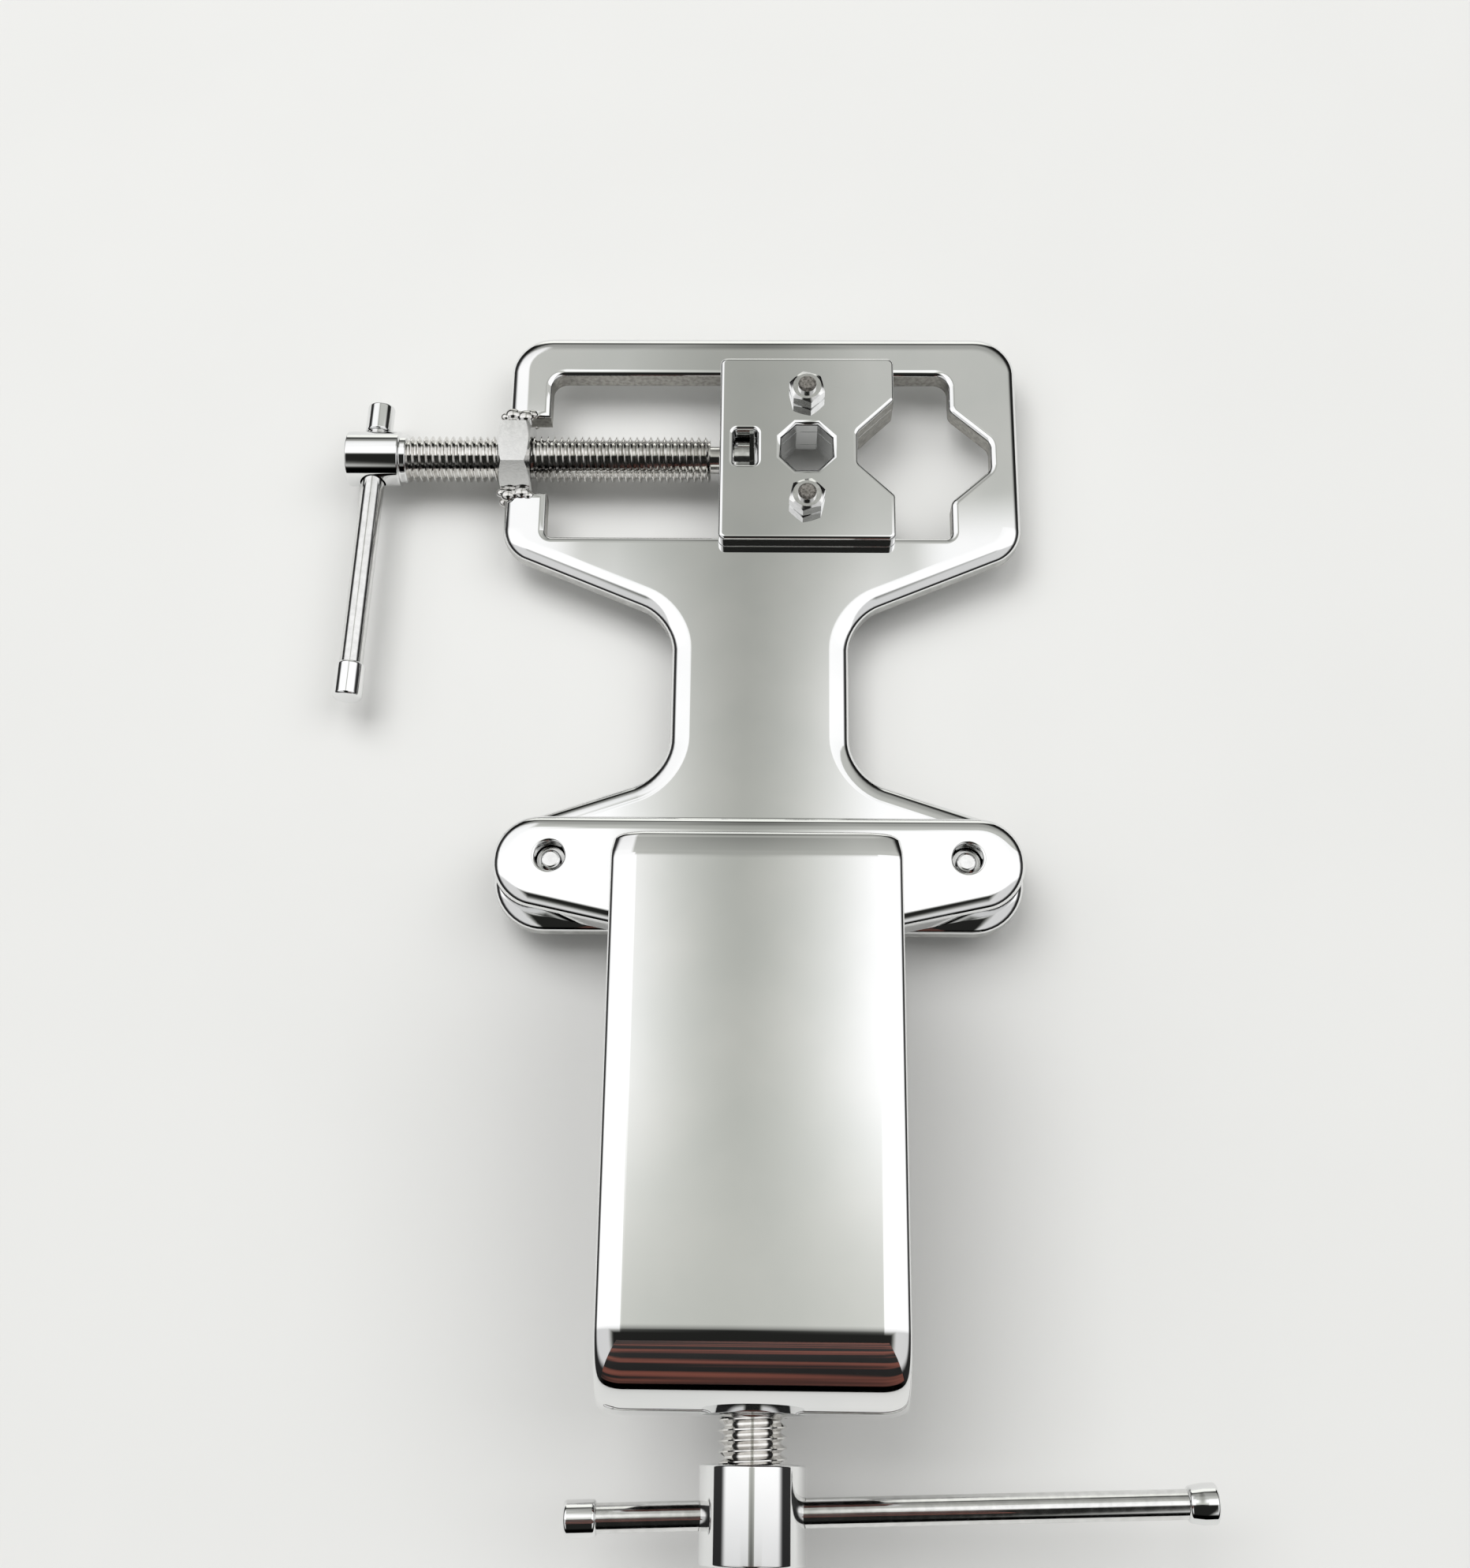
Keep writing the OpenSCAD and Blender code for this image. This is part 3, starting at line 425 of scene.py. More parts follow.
# Dark and light colour, range of roughness, sizes of mottle and grain and the grain's depth in mm.
FINISHES = {
    # Mirror chrome: the eye sees the room in it, hardly broken by the ripple of the polished steel.
    "mirror_chrome": ("E9EAEA", "EFEFEF", (0.03, 0.045), 18, 14, 0.0003),
    # Cut walls: matt grey steel, with the speckled grain that the cutter left under the plating.
    "cut_wall_steel": ("8B8984", "AFADA8", (0.28, 0.42), 0.9, 0.35, 0.02),
    # Ground outer edges: satin grey, smoother than the cut walls.
    "satin_edge_steel": ("B9B9B7", "CFCFCD", (0.30, 0.38), 2.5, 0.4, 0.006),
    # Threads: pale warm steel, bright from rolling and a little uneven.
    "rolled_thread_steel": ("D6D4D1", "ECEBE9", (0.07, 0.12), 2.5, 0.5, 0.001),
    # Zinc plated nuts and screws: pale and softly shining.
    "zinc_plate": ("D9D9D8", "E8E8E7", (0.08, 0.13), 1.2, 0.4, 0.002),
    # Sawn screw ends: dull grey with torn grain.
    "sawn_screw_end": ("6E6B66", "B1ADA7", (0.40, 0.60), 0.5, 0.25, 0.06),
    # Black oxide on the socket screws behind the foot.
    "black_oxide_screw": ("3A3937", "55534F", (0.25, 0.40), 1.5, 0.4, 0.01),
    # Bars: bright drawn steel, its mirror broken a little by a fine grain.
    "drawn_bar_steel": ("D9D9D8", "E6E6E5", (0.09, 0.13), 1.5, 0.4, 0.0012),
    # Weld: plated over, so it shines, but lumpy and rippled.
    "weld_bead_steel": ("C4C2BF", "E4E3E1", (0.05, 0.12), 1.6, 1.2, 0.05),
}


def finish(name):
    """One finish by name, made when first asked for."""
    return bpy.data.materials.get(name) or metal(name, *FINISHES[name])


# Places
def jaw_axis_turn(s):
    """From Z upwards at the origin to +X along the jaw screw's axis."""
    return Matrix.Translation((0, s.axis_y, s.axis_z)) @ Matrix.Rotation(math.pi / 2, 4, "Y")


def jaw_bar_turn(s):
    """From Z upwards at the origin to the jaw bar's line, which leans as in the photo."""
    return Matrix.Translation((JAW_BAR_X, s.axis_y, s.axis_z)) @ Matrix.Rotation(math.radians(1.8), 4, "Y")


def clamp_bar_turn():
    """From Z upwards at the origin to the clamp bar's line, pointing right."""
    return Matrix.Translation((0, 0, CLAMP_BAR_Z)) @ Matrix.Rotation(math.radians(88), 4, "Y")


def depth_turn(x, z, y=0.0):
    """From Z upwards at the origin to +Y through x, z."""
    return Matrix.Translation((x, y, z)) @ Matrix.Rotation(-math.pi / 2, 4, "X")


def octagon(x, z, across):
    """Corners of an eight-sided hole with flats across X and Z."""
    far = across / 2 / math.cos(math.pi / 8)
    return [(x + far * math.cos(math.pi / 8 * (2 * i + 1)), z + far * math.sin(math.pi / 8 * (2 * i + 1)), 0)
            for i in range(8)]


# Operators
class VISE_OT_plate(Operator):
    """Make the flat plate with its window, cut bar, neck and foot"""

    bl_idname = "vise.plate"
    bl_label = "Vise plate"

    def execute(self, context):
        s = context.scene.vise_shape
        h, n, f, a = s.head_w / 2, s.neck_w / 2, s.foot_w / 2, s.axis_z
        # The left half's corners, from the top down: x, height and rounding.
        left = [(-h, 145, 9), (-h, 92, 8), (-n, 76, 11), (-n, 40.9, 11), (-f, 28.9, 9.6), (-f, 7.4, 10.6)]
        outer = left + [(-x, z, corner) for x, z, corner in reversed(left)]
        # The window: its sides, half its height, half the gap in the cut bar, and the notch.
        w_left, w_right, half, gap = -46.7, 41.1, 20, 9.3
        notch_floor, notch_mouth, notch_half = 49.9, 11.2, 3.25
        window = [(w_left, a + gap, 0), (w_left, a + half, 3), (w_right, a + half, 3),
                  (w_right, a + notch_mouth, 2.2), (notch_floor, a + notch_half, 2.5),
                  (notch_floor, a - notch_half, 2.5), (w_right, a - notch_mouth, 2.2),
                  (w_right, a - half, 1.5), (w_left, a - half, 1.5), (w_left, a - gap, 0)]
        # The second slab reaches past the first one all round, and takes the gap in from the left.
        margin, over = h + 9, 154
        frame_round = [(-margin, over, 0), (-margin, a + gap, 0), *window, (-margin, a - gap, 0),
                       (-margin, 0, 0), (margin, 0, 0), (margin, over, 0)]
        hole_r, hole_area, hole_rim = 3.3, 4, 0.8
        holes = [(side * s.hole_pitch / 2, s.hole_z, hole_r) for side in (-1, 1)]

        def of_hole(x, z):
            return abs(abs(x) - s.hole_pitch / 2) < hole_area and abs(z - s.hole_z) < hole_area

        # What two plates have in common: one with the outer edge, one with the window and the cut bar.
        rims = ((s.plate_fillet, lambda x, z: not of_hole(x, z)), (hole_rim, of_hole))
        bm = carved(slab(outer, holes, PLATE_FRONT, PLATE_BACK, rims, 2, s.arc_steps, squash=2),
                    slab(frame_round, [], PLATE_FRONT, PLATE_BACK, ((s.window_fillet, None),), 1,
                         s.arc_steps, squash=2), "INTERSECT")

        # The window's walls are found by their place, with half a millimetre to spare.
        near = 0.5

        def of_window(x, z):
            return near - h < x < notch_floor + 2 * near and abs(z - a) < half + near

        def wall(face):
            return abs(face.normal.y) < 0.2

        def cut(face):
            spot = face.calc_center_median()
            return wall(face) and of_window(spot.x, spot.z)

        bm.normal_update()
        for face in bm.faces:
            face.material_index = 1 if cut(face) else 2 if wall(face) else 0
        place("plate", bm, "clamp",
              [finish("mirror_chrome"), finish("cut_wall_steel"), finish("satin_edge_steel")],
              ["vise_plate"])
        return {"FINISHED"}


# Clamp body: the bar's thickness, the bend's centre, the underside and the upper corners' rounding.
BAR, BEND_Y, BEND_Z, UNDERSIDE, ARM_R = 11, -15, -70.7, -84.7, 3
# A slab stands across Y. These lay it flat, with its depth downwards, or turn it to stand across X.
LAID_FLAT = Matrix.Rotation(-math.pi / 2, 4, "X")
ACROSS_X = Matrix.Rotation(math.pi / 2, 4, "Z")


def bar_section(s, depth):
    """The bar's face across X, its outer corners rounded more across the bar than into it."""
    bm = bmesh.new()
    w, flat, inner_r = s.body_w / 2, s.cushion_w / s.cushion_depth, 0.8
    rounded_face(bm, [(-w, 0, s.cushion_w), (w, 0, s.cushion_w), (w, flat * depth, inner_r),
                      (-w, flat * depth, inner_r)], 0, 2 * s.arc_steps)
    return moved(bm, Matrix.Diagonal((1, 1, 1 / flat, 1)), LAID_FLAT)


def arm_rows(s):
    """Rise, way back and narrowing of each row of the spine: straight, then over a quarter ellipse."""
    w = s.body_w / 2
    arc_z, arc_y, arc_high, arc_back, arc_rows, corner_z = 83.3, 0.65, 1.4, 0.95, 8, 81.7
    places = [(0, 0), (79.4, 0), (80.9, 0.09), (arc_z, arc_y)]
    places += [(arc_z + arc_high * math.sin(t), arc_y + arc_back * (1 - math.cos(t)))
               for t in (math.pi / 2 * i / arc_rows for i in range(1, arc_rows + 1))]

    def half(height):
        """Half the arm's width at a height over the bend, less its corners' rounding."""
        past = max(0, min(ARM_R, height - corner_z))
        return w - ARM_R + math.sqrt(ARM_R ** 2 - past ** 2)

    return [(high[0] - low[0], high[1] - low[1], half(high[0]) / half(low[0]))
            for low, high in zip(places, places[1:])]


def spine_and_upper_arm(s):
    """The section drawn up row by row, with the throat cut out behind the spine."""
    arm_depth = 38.2
    spine = moved(bar_section(s, arm_depth), Matrix.Translation((0, SPINE_FRONT, BEND_Z)))
    bmesh.ops.recalc_face_normals(spine, faces=list(spine.faces))
    top, drawn = list(spine.faces), []
    for rise, back, narrow in arm_rows(s):
        out = bmesh.ops.extrude_face_region(spine, geom=top, use_keep_orig=True)
        verts = made_verts(out)
        top = [g for g in out["geom"] if isinstance(g, bmesh.types.BMFace)]
        drawn += top
        bmesh.ops.translate(spine, vec=(0, back, rise), verts=verts)
        bmesh.ops.scale(spine, vec=(narrow, 1, 1), verts=verts)
    # Only the bottom and the last row's top stay; the faces between them are inside.
    bmesh.ops.delete(spine, geom=[face for face in drawn if face not in top], context="FACES_ONLY")
    bmesh.ops.recalc_face_normals(spine, faces=list(spine.faces))
    inside, behind, under, past = SPINE_FRONT + BAR, 12, -72, s.body_w / 2 + 1
    gap = [(inside, under, 0), (behind, under, 0), (behind, 0, 0), (inside, 0, ARM_R)]
    throat = moved(slab(gap, [], -past, past, steps=s.arc_steps), ACROSS_X)
    return carved(spine, throat)


def bottom_bend(s):
    """The section spun a quarter turn."""
    bend = moved(bar_section(s, BAR), Matrix.Translation((0, SPINE_FRONT, BEND_Z)))
    bmesh.ops.spin(bend, geom=list(bend.faces), cent=(0, BEND_Y, BEND_Z), axis=(1, 0, 0),
                   dvec=(0, 0, 0), angle=math.pi / 2, steps=32, use_duplicate=False)
    bmesh.ops.recalc_face_normals(bend, faces=list(bend.faces))
    return bend


def lower_arm(s):
    """The bar behind the bend, which narrows to a round end and is bored for the clamp screw."""
    w, length, end_y, end_half, end_r, bore_r = s.body_w / 2, 30.5, 15, 16, 13, 6.05
    along = moved(bar_section(s, BAR), Matrix.Rotation(math.pi / 2, 4, "X"))
    out = bmesh.ops.extrude_face_region(along, geom=list(along.faces), use_keep_orig=True)
    bmesh.ops.translate(along, vec=(0, length, 0), verts=made_verts(out))
    moved(along, Matrix.Translation((0, BEND_Y, UNDERSIDE)))
    bmesh.ops.recalc_face_normals(along, faces=list(along.faces))
    from_above = [(-w, BEND_Y, 0), (w, BEND_Y, 0), (end_half, end_y, end_r), (-end_half, end_y, end_r)]
    shape = slab(from_above, [(0, 0, bore_r)], 73, 86, steps=s.arc_steps)
    return carved(along, moved(shape, LAID_FLAT), "INTERSECT")


def flange_with_ears(s):
    """The upper arm's upright end, with two ears that carry the plate's foot."""
    w, ear_half, ear_top, ear_low, ear_r, root = s.body_w / 2, 53, 29.4, 12.28, 9.2, 6.29
    hole_r, hole_area, hole_rim, outer_rim = 3.05, 4, 0.6, 3.4
    left = [(-ear_half, ear_top, ear_r), (-ear_half, ear_low, ear_r), (-w, root, 0), (-w, 0, 0)]
    ears = left + [(-x, z, corner) for x, z, corner in reversed(left)]
    holes = [(side * s.hole_pitch / 2, s.hole_z, hole_r) for side in (-1, 1)]

    def off_hole(x, z):
        return abs(abs(x) - s.hole_pitch / 2) > hole_area or abs(z - s.hole_z) > hole_area

    return slab(ears, holes, FLANGE_FRONT, PLATE_FRONT, ((outer_rim, off_hole), (hole_rim, None)), 1,
                s.arc_steps, squash=1.7)


def flange_fillet(s):
    """The fillet that runs up to the flange from the upper arm."""
    low, high, start, face, behind, fillet_r = 13.5, 20, 3, 9, 9.5, 6
    side = [(start, low, 0), (behind, low, 0), (behind, high, 0), (face, high, 0),
            (face, low + 0.5, fillet_r), (start, low + 0.5, 0)]
    w = s.body_w / 2
    return moved(slab(side, [], start - w, w - start, steps=s.arc_steps), ACROSS_X)


class VISE_OT_body(Operator):
    """Make the clamp body: one bar bent to a C, with the flange and its two ears"""

    bl_idname = "vise.body"
    bl_label = "Clamp body"

    def execute(self, context):
        s = context.scene.vise_shape
        whole = joined(spine_and_upper_arm(s), bottom_bend(s), lower_arm(s), flange_with_ears(s),
                       flange_fillet(s))
        place("body_bar", whole, "clamp", [finish("mirror_chrome")], ["clamp_body"], sharp=20)
        return {"FINISHED"}


# Jaw: its sides, the back half's right side, its height, the notch, the eight-sided hole and the bolts.
JAW_LEFT, JAW_RIGHT, JAW_BACK_RIGHT, JAW_HIGH = -9.2, 28.8, 20.3, 44.5
NOTCH_FLOOR, NOTCH_MOUTH, NOTCH_HALF = 20.8, 11.6, 3.7
HOLE_X, HOLE_W, BOLT_RISE, BOLT_POINT = 9.8, 11, 13.1, 8.4


def jaw_outline(s, high, corner):
    """The front half's outline, at a height and with a corner rounding of its own."""
    a = s.axis_z
    upper = [(NOTCH_FLOOR, NOTCH_HALF, 1.5), (JAW_RIGHT, NOTCH_MOUTH, 1.2), (JAW_RIGHT, high / 2, corner),
             (JAW_LEFT, high / 2, corner)]
    return [(x, a - z, one) for x, z, one in reversed(upper)] + [(x, a + z, one) for x, z, one in upper]


def jaw_front_half(s):
    """The jaw's face and the tongue that slides in the window, with the slot that shows the collar."""
    a, corner_r, tongue_high, tongue_r = s.axis_z, 1.5, 39.8, 4.5
    hole_rim, hole_area, back_r = 1.1, 7, 0.3
    slot_left, slot_right, slot_half, slot_r = -6.2, -1, 4.3, 1
    slot = [(slot_left, a - slot_half, slot_r), (slot_right, a - slot_half, slot_r),
            (slot_right, a + slot_half, slot_r), (slot_left, a + slot_half, slot_r)]
    holes = [octagon(HOLE_X, a, HOLE_W), slot]

    def off_octagon(x, z):
        return abs(x - HOLE_X) > hole_area or abs(z - a) > hole_area

    face = slab(jaw_outline(s, JAW_HIGH, corner_r), holes, JAW_FRONT, JAW_STEP,
                ((s.jaw_fillet, off_octagon), (hole_rim, None)), back_r, s.arc_steps, squash=1.4)
    tongue = slab(jaw_outline(s, tongue_high, tongue_r), holes, JAW_STEP, JAW_SPLIT, steps=s.arc_steps)
    return joined(face, tongue)


def jaw_back_half(s):
    """The plain half behind the rails."""
    low, high, corner_r, front_r = s.axis_z - JAW_HIGH / 2, s.axis_z + JAW_HIGH / 2, 1.5, 0.2
    outline = [(JAW_LEFT, low, corner_r), (JAW_BACK_RIGHT, low, corner_r), (JAW_BACK_RIGHT, high, corner_r),
               (JAW_LEFT, high, corner_r)]
    return slab(outline, [octagon(HOLE_X, s.axis_z, HOLE_W)], JAW_SPLIT, JAW_BACK, ((front_r, None),),
                s.jaw_fillet, s.arc_steps)


def jaw_bolt(s, side):
    """One M4 bolt: its point at the front, and at the back its head, with a cross cut into it."""
    start, point_r, shank_r, head_r, head_end = 7.7, 1.5, 2, 4, 26.7
    cross_long, cross_wide, cross_deep, cross_at = 4.2, 0.8, 2, 26.4
    bolt = turned([(0, start), (point_r, start), (shank_r, 8.3), (shank_r, JAW_BACK), (head_r, JAW_BACK),
                   (head_r, 25.2), (3.35, head_end), (0, head_end)], 48, 0.2)
    for angle in (0, math.pi / 2):
        blade = bmesh.new()
        bmesh.ops.create_cube(blade, size=1, matrix=Matrix.Rotation(angle, 4, "Z")
                              @ Matrix.Translation((0, 0, cross_at))
                              @ Matrix.Diagonal((cross_long, cross_wide, cross_deep, 1)))
        bolt = carved(bolt, blade)
    return moved(bolt, depth_turn(HOLE_X, s.axis_z + side * BOLT_RISE))


def jaw_nut(s, side):
    """One M4 nut on the jaw's face, turned a little as in the photo."""
    across, thick, face_share, turn = 7, 3.2, 0.44, 0.3
    return moved(hex_nut(across, thick, s.turn_steps, face_share), Matrix.Rotation(turn * side, 4, "Z"),
                 depth_turn(HOLE_X, s.axis_z + side * BOLT_RISE, JAW_FRONT - thick))


class VISE_OT_jaw(Operator):
    """Make the sliding jaw's two halves, their bolts and nuts"""

    bl_idname = "vise.jaw"
    bl_label = "Jaw"

    def execute(self, context):
        s = context.scene.vise_shape
        chrome, zinc = finish("mirror_chrome"), finish("zinc_plate")

        def notch(face):
            spot = face.calc_center_median()
            return (abs(face.normal.y) < 0.2 and spot.x > NOTCH_FLOOR - 0.8
                    and abs(spot.z - s.axis_z) < NOTCH_MOUTH + 0.2)

        place("jaw_front_half", jaw_front_half(s), "jaw", [chrome, finish("cut_wall_steel")],
              ["jaw_front"], second=notch)
        place("jaw_back_half", jaw_back_half(s), "jaw", [chrome], ["jaw_back"])
        bolts = joined(*(jaw_bolt(s, side) for side in (-1, 1)))
        place("jaw_bolt_pair", bolts, "jaw", [zinc, finish("sawn_screw_end")], ["jaw_bolts"],
              second=lambda face: face.calc_center_median().y < BOLT_POINT)
        nuts = joined(*(jaw_nut(s, side) for side in (-1, 1)))
        place("jaw_nut_pair", nuts, "jaw", [zinc], ["jaw_bolt_nuts"], sharp=20)
        return {"FINISHED"}


class VISE_OT_fixings(Operator):
    """Make the foot screws, the welded nut and its weld"""

    bl_idname = "vise.fixings"
    bl_label = "Foot screws, welded nut and weld"

    def execute(self, context):
        s = context.scene.vise_shape
        # M6 screws from the back: the point's start and radius, the shank, the head and its socket.
        start, point_r, shank_r, head_r, head_end, socket_w, socket_floor = 11.4, 1.7, 3, 5, 27, 5, 24
        screws = []
        for side in (-1, 1):
            screw = turned([(0, start), (point_r, start), (shank_r, 12.6), (shank_r, PLATE_BACK),
                            (head_r, PLATE_BACK), (head_r, head_end), (0, head_end)], s.turn_steps, 0.35)
            screw = carved(screw, hexagon(socket_w, socket_floor, head_end + 1))
            screws.append(moved(screw, depth_turn(side * s.hole_pitch / 2, s.hole_z)))
        place("foot_screw_pair", joined(*screws), "clamp",
              [finish("black_oxide_screw"), finish("zinc_plate")], ["foot_screws"],
              second=lambda face: face.calc_center_median().y < 20)
        nut_w, nut_thick, nut_left = 17, 7, -57.25
        nut = moved(hex_nut(nut_w, nut_thick, s.turn_steps), Matrix.Translation((0, 0, nut_left)),
                    jaw_axis_turn(s))
        place("welded_nut", nut, "clamp", [finish("zinc_plate")], ["jaw_nut"], sharp=20)

        # Each run is a row of smooth lumps that swell into each other.
        run_left, lump_step, run_rise, waver = -56.6, 1.45, 9.4, 0.3
        lumps = bmesh.new()
        for end in (-1, 1):
            for level in (16.4, 20.8):
                for i, size in enumerate((1.0, 1.45, 1.2, 1.6, 1.15)):
                    rise = run_rise + waver * ((i * 2) % 3)
                    spot = Vector((run_left + i * lump_step, level, s.axis_z + end * rise))
                    lump = Matrix.Translation(spot) @ Matrix.Diagonal((1.15 * size, 0.7 * size, size, 1))
                    bmesh.ops.create_icosphere(lumps, subdivisions=4, radius=1, matrix=lump)
        place("weld_runs", lumps, "clamp", [finish("weld_bead_steel")], ["weld_beads"],
              sharp=60)
        return {"FINISHED"}


class VISE_OT_jaw_screw(Operator):
    """Make the jaw screw: thread, neck, collar, head and its bar"""

    bl_idname = "vise.jaw_screw"
    bl_label = "Jaw screw"

    def execute(self, context):
        s, t = context.scene.vise_shape, context.scene.vise_thread
        steps, turn, chrome = s.turn_steps, jaw_axis_turn(s), finish("mirror_chrome")
        # Along the axis from left to right: head, shoulder, thread, neck, collar.
        head_left, head_end, thread_left, thread_right = -91, -79.4, -77.8, -11.2
        collar_left, tip, collar_r, tip_r, neck_r = -6, -2.7, 4, 2.5, 3
        rod = threaded(5, t.jaw_pitch, t.depth_share * t.jaw_pitch, thread_left, thread_right, t.steps)
        neck = turned([(0, -13), (neck_r, -13), (neck_r, collar_left), (tip_r, collar_left), (tip_r, tip),
                       (0, tip)], steps, 0.2)
        place("jaw_thread", moved(joined(rod, neck), turn), "jaw_screw",
              [finish("rolled_thread_steel")], ["jaw_screw_rod"], sharp=25)
        head_r, shoulder_r = 6, 5.3
        head = turned([(0, head_left), (head_r, head_left), (head_r, head_end), (shoulder_r, head_end),
                       (shoulder_r, thread_left), (0, thread_left)], steps, 0.7, 5)
        hole = turned([(0, -9), (2.8, -9), (2.8, 9), (0, 9)], 64)
        head = carved(moved(head, turn), moved(hole, jaw_bar_turn(s)))
        place("jaw_screw_grip", head, "jaw_screw", [chrome], ["jaw_screw_head"])
        collar = turned([(tip_r, collar_left), (collar_r, collar_left), (collar_r, tip), (tip_r, tip)],
                        steps)
        place("jaw_collar", moved(collar, turn), "jaw_screw", [finish("zinc_plate")],
              ["jaw_screw_collar"])

        turn, bar_r = jaw_bar_turn(s), 2.5
        shaft = turned([(0, -52.5), (bar_r, -52.5), (bar_r, 9.5), (0, 9.5)], steps)
        place("jaw_bar_shaft", moved(shaft, turn), "jaw_bar", [finish("drawn_bar_steel")],
              ["jaw_bar"])
        cap = turned([(0, 6.2), (3, 6.2), (3, 12.8), (0, 12.8)], steps, 0.5, 4)
        place("jaw_bar_end_cap", moved(cap, turn), "jaw_bar", [chrome], ["jaw_bar_cap"])
        knob = turned([(0, -57), (3.15, -57), (3.15, -49.2), (0, -49.2)], steps, 0.7, 4)
        place("jaw_bar_end_knob", moved(knob, turn), "jaw_bar", [chrome], ["jaw_bar_knob"])
        return {"FINISHED"}


class VISE_OT_clamp_screw(Operator):
    """Make the clamp screw: thread, pivot, head, pad, ring and its bar"""

    bl_idname = "vise.clamp_screw"
    bl_label = "Clamp screw"

    def execute(self, context):
        s, t = context.scene.vise_shape, context.scene.vise_thread
        steps, chrome = s.turn_steps, finish("mirror_chrome")
        # Heights of the head, the thread and the pivot, with the groove that holds the snap ring.
        head_low, head_high, thread_low, thread_high = -108.5, -92.3, -93.1, -20.8
        pivot_r, pivot_top, groove_r, groove_low, groove_high = 4, -13.8, 3.2, -18.1, -16.9
        rod = threaded(6, t.clamp_pitch, t.depth_share * t.clamp_pitch, thread_low, thread_high, t.steps)
        pivot = turned([(0, -23), (pivot_r, -23), (pivot_r, groove_low), (groove_r, groove_low),
                        (groove_r, groove_high), (pivot_r, groove_high), (pivot_r, pivot_top),
                        (0, pivot_top)], steps)
        place("clamp_thread", joined(rod, pivot), "clamp_screw", [finish("rolled_thread_steel")],
              ["clamp_screw_rod"], sharp=25)
        head_r, recess_r = 9.25, 7
        head = turned([(0, head_low), (head_r, head_low), (head_r, head_high), (recess_r, head_high),
                       (recess_r, thread_low), (0, thread_low)], steps, 0.8, 5)
        hole = turned([(0, -12), (3, -12), (3, 12), (0, 12)], 64)
        hole = moved(hole, Matrix.Translation((0, 0, CLAMP_BAR_Z)) @ Matrix.Rotation(math.pi / 2, 4, "Y"))
        place("clamp_screw_grip", carved(head, hole), "clamp_screw", [chrome],
              ["clamp_screw_head"])
        pad_r, pad_low, pad_top, sleeve_r, sleeve_low, bore_r = 14, -13.5, -9, 8.5, -20.5, 4.05
        pad = turned([(0, pad_low), (bore_r, pad_low), (bore_r, sleeve_low), (sleeve_r, sleeve_low),
                      (sleeve_r, pad_low), (pad_r, pad_low), (pad_r, pad_top), (0, pad_top)], steps, 0.5, 4)
        place("swivel_pad", pad, "clamp_pad", [chrome], ["clamp_pad"])
        ring_r = 5.3
        ring = turned([(groove_r, groove_low), (ring_r, groove_low), (ring_r, groove_high),
                       (groove_r, groove_high), (groove_r, groove_low)], steps)
        place("pad_ring", ring, "clamp_screw", [finish("black_oxide_screw")], ["pad_snap_ring"])

        turn, bar_r = clamp_bar_turn(), 2.5
        shaft = turned([(0, -30), (bar_r, -30), (bar_r, 78), (0, 78)], steps)
        place("clamp_bar_shaft", moved(shaft, turn), "clamp_bar", [finish("drawn_bar_steel")],
              ["clamp_bar"])
        knob = turned([(0, -32.4), (3.15, -32.4), (3.15, -26.7), (0, -26.7)], steps, 0.7, 4)
        place("clamp_bar_end_knob", moved(knob, turn), "clamp_bar", [chrome], ["clamp_bar_knob"])
        cap = turned([(0, 74.6), (2.98, 74.6), (3.45, 77.2), (3.45, 79.8), (0, 79.8)], steps, 0.6, 4)
        place("clamp_bar_end_cap", moved(cap, turn), "clamp_bar", [chrome], ["clamp_bar_cap"])
        return {"FINISHED"}


def flat_sheet(name, size, centre, turn, material):
    """A flat piece of the stage."""
    bm = bmesh.new()
    bmesh.ops.create_grid(bm, x_segments=1, y_segments=1, size=0.5)
    moved(bm, Matrix.Diagonal((size[0], size[1], 1, 1)), Matrix.Rotation(turn, 4, "X"),
          Matrix.Translation(centre))
    mesh = bpy.data.meshes.new(name)
    bm.to_mesh(mesh)
    bm.free()
    mesh.materials.append(material)
    obj = bpy.data.objects.new(name, mesh)
    bpy.context.scene.collection.objects.link(obj)
    return obj


def sheet_paper(hex_colour):
    """White sheet: matt paper whose back lets the camera through, so that the vise shows from behind."""
    made = bpy.data.materials.new("white_sheet")
    made.use_nodes = True
    tree = made.node_tree
    shader = tree.nodes["Principled BSDF"]
    tint = mix_colour(tree, spread(tree, noise(tree, 60, 3), 0, 1, 0.3, 0.7), linear(hex_colour),
                      linear(hex_colour, 0.985))
    tree.links.new(tint, shader.inputs["Base Color"])
    shader.inputs["Roughness"].default_value = 0.9
    shader.inputs["Specular IOR Level"].default_value = 0.0
    clear = add(tree, "ShaderNodeBsdfTransparent")
    back = add(tree, "ShaderNodeNewGeometry").outputs["Backfacing"]
    both = add(tree, "ShaderNodeMixShader", {0: back, 1: shader.outputs[0], 2: clear.outputs[0]})
    tree.links.new(both.outputs[0], tree.nodes["Material Output"].inputs["Surface"])
    return made


def table_wood():
    """Dark brown table below the view, in bands of brown and black that the chrome's bend reflects."""
    made = bpy.data.materials.new("dark_table_wood")
    made.use_nodes = True
    tree = made.node_tree
    shader = tree.nodes["Principled BSDF"]
    bands = noise(tree, 12, 2, (14, 1, 1))
    tint = mix_colour(tree, spread(tree, bands, 0, 1, 0.45, 0.62, True), linear("0C0909"),
                      linear("8A4E40"))
    tree.links.new(tint, shader.inputs["Base Color"])
    shader.inputs["Roughness"].default_value = 0.7
    return made


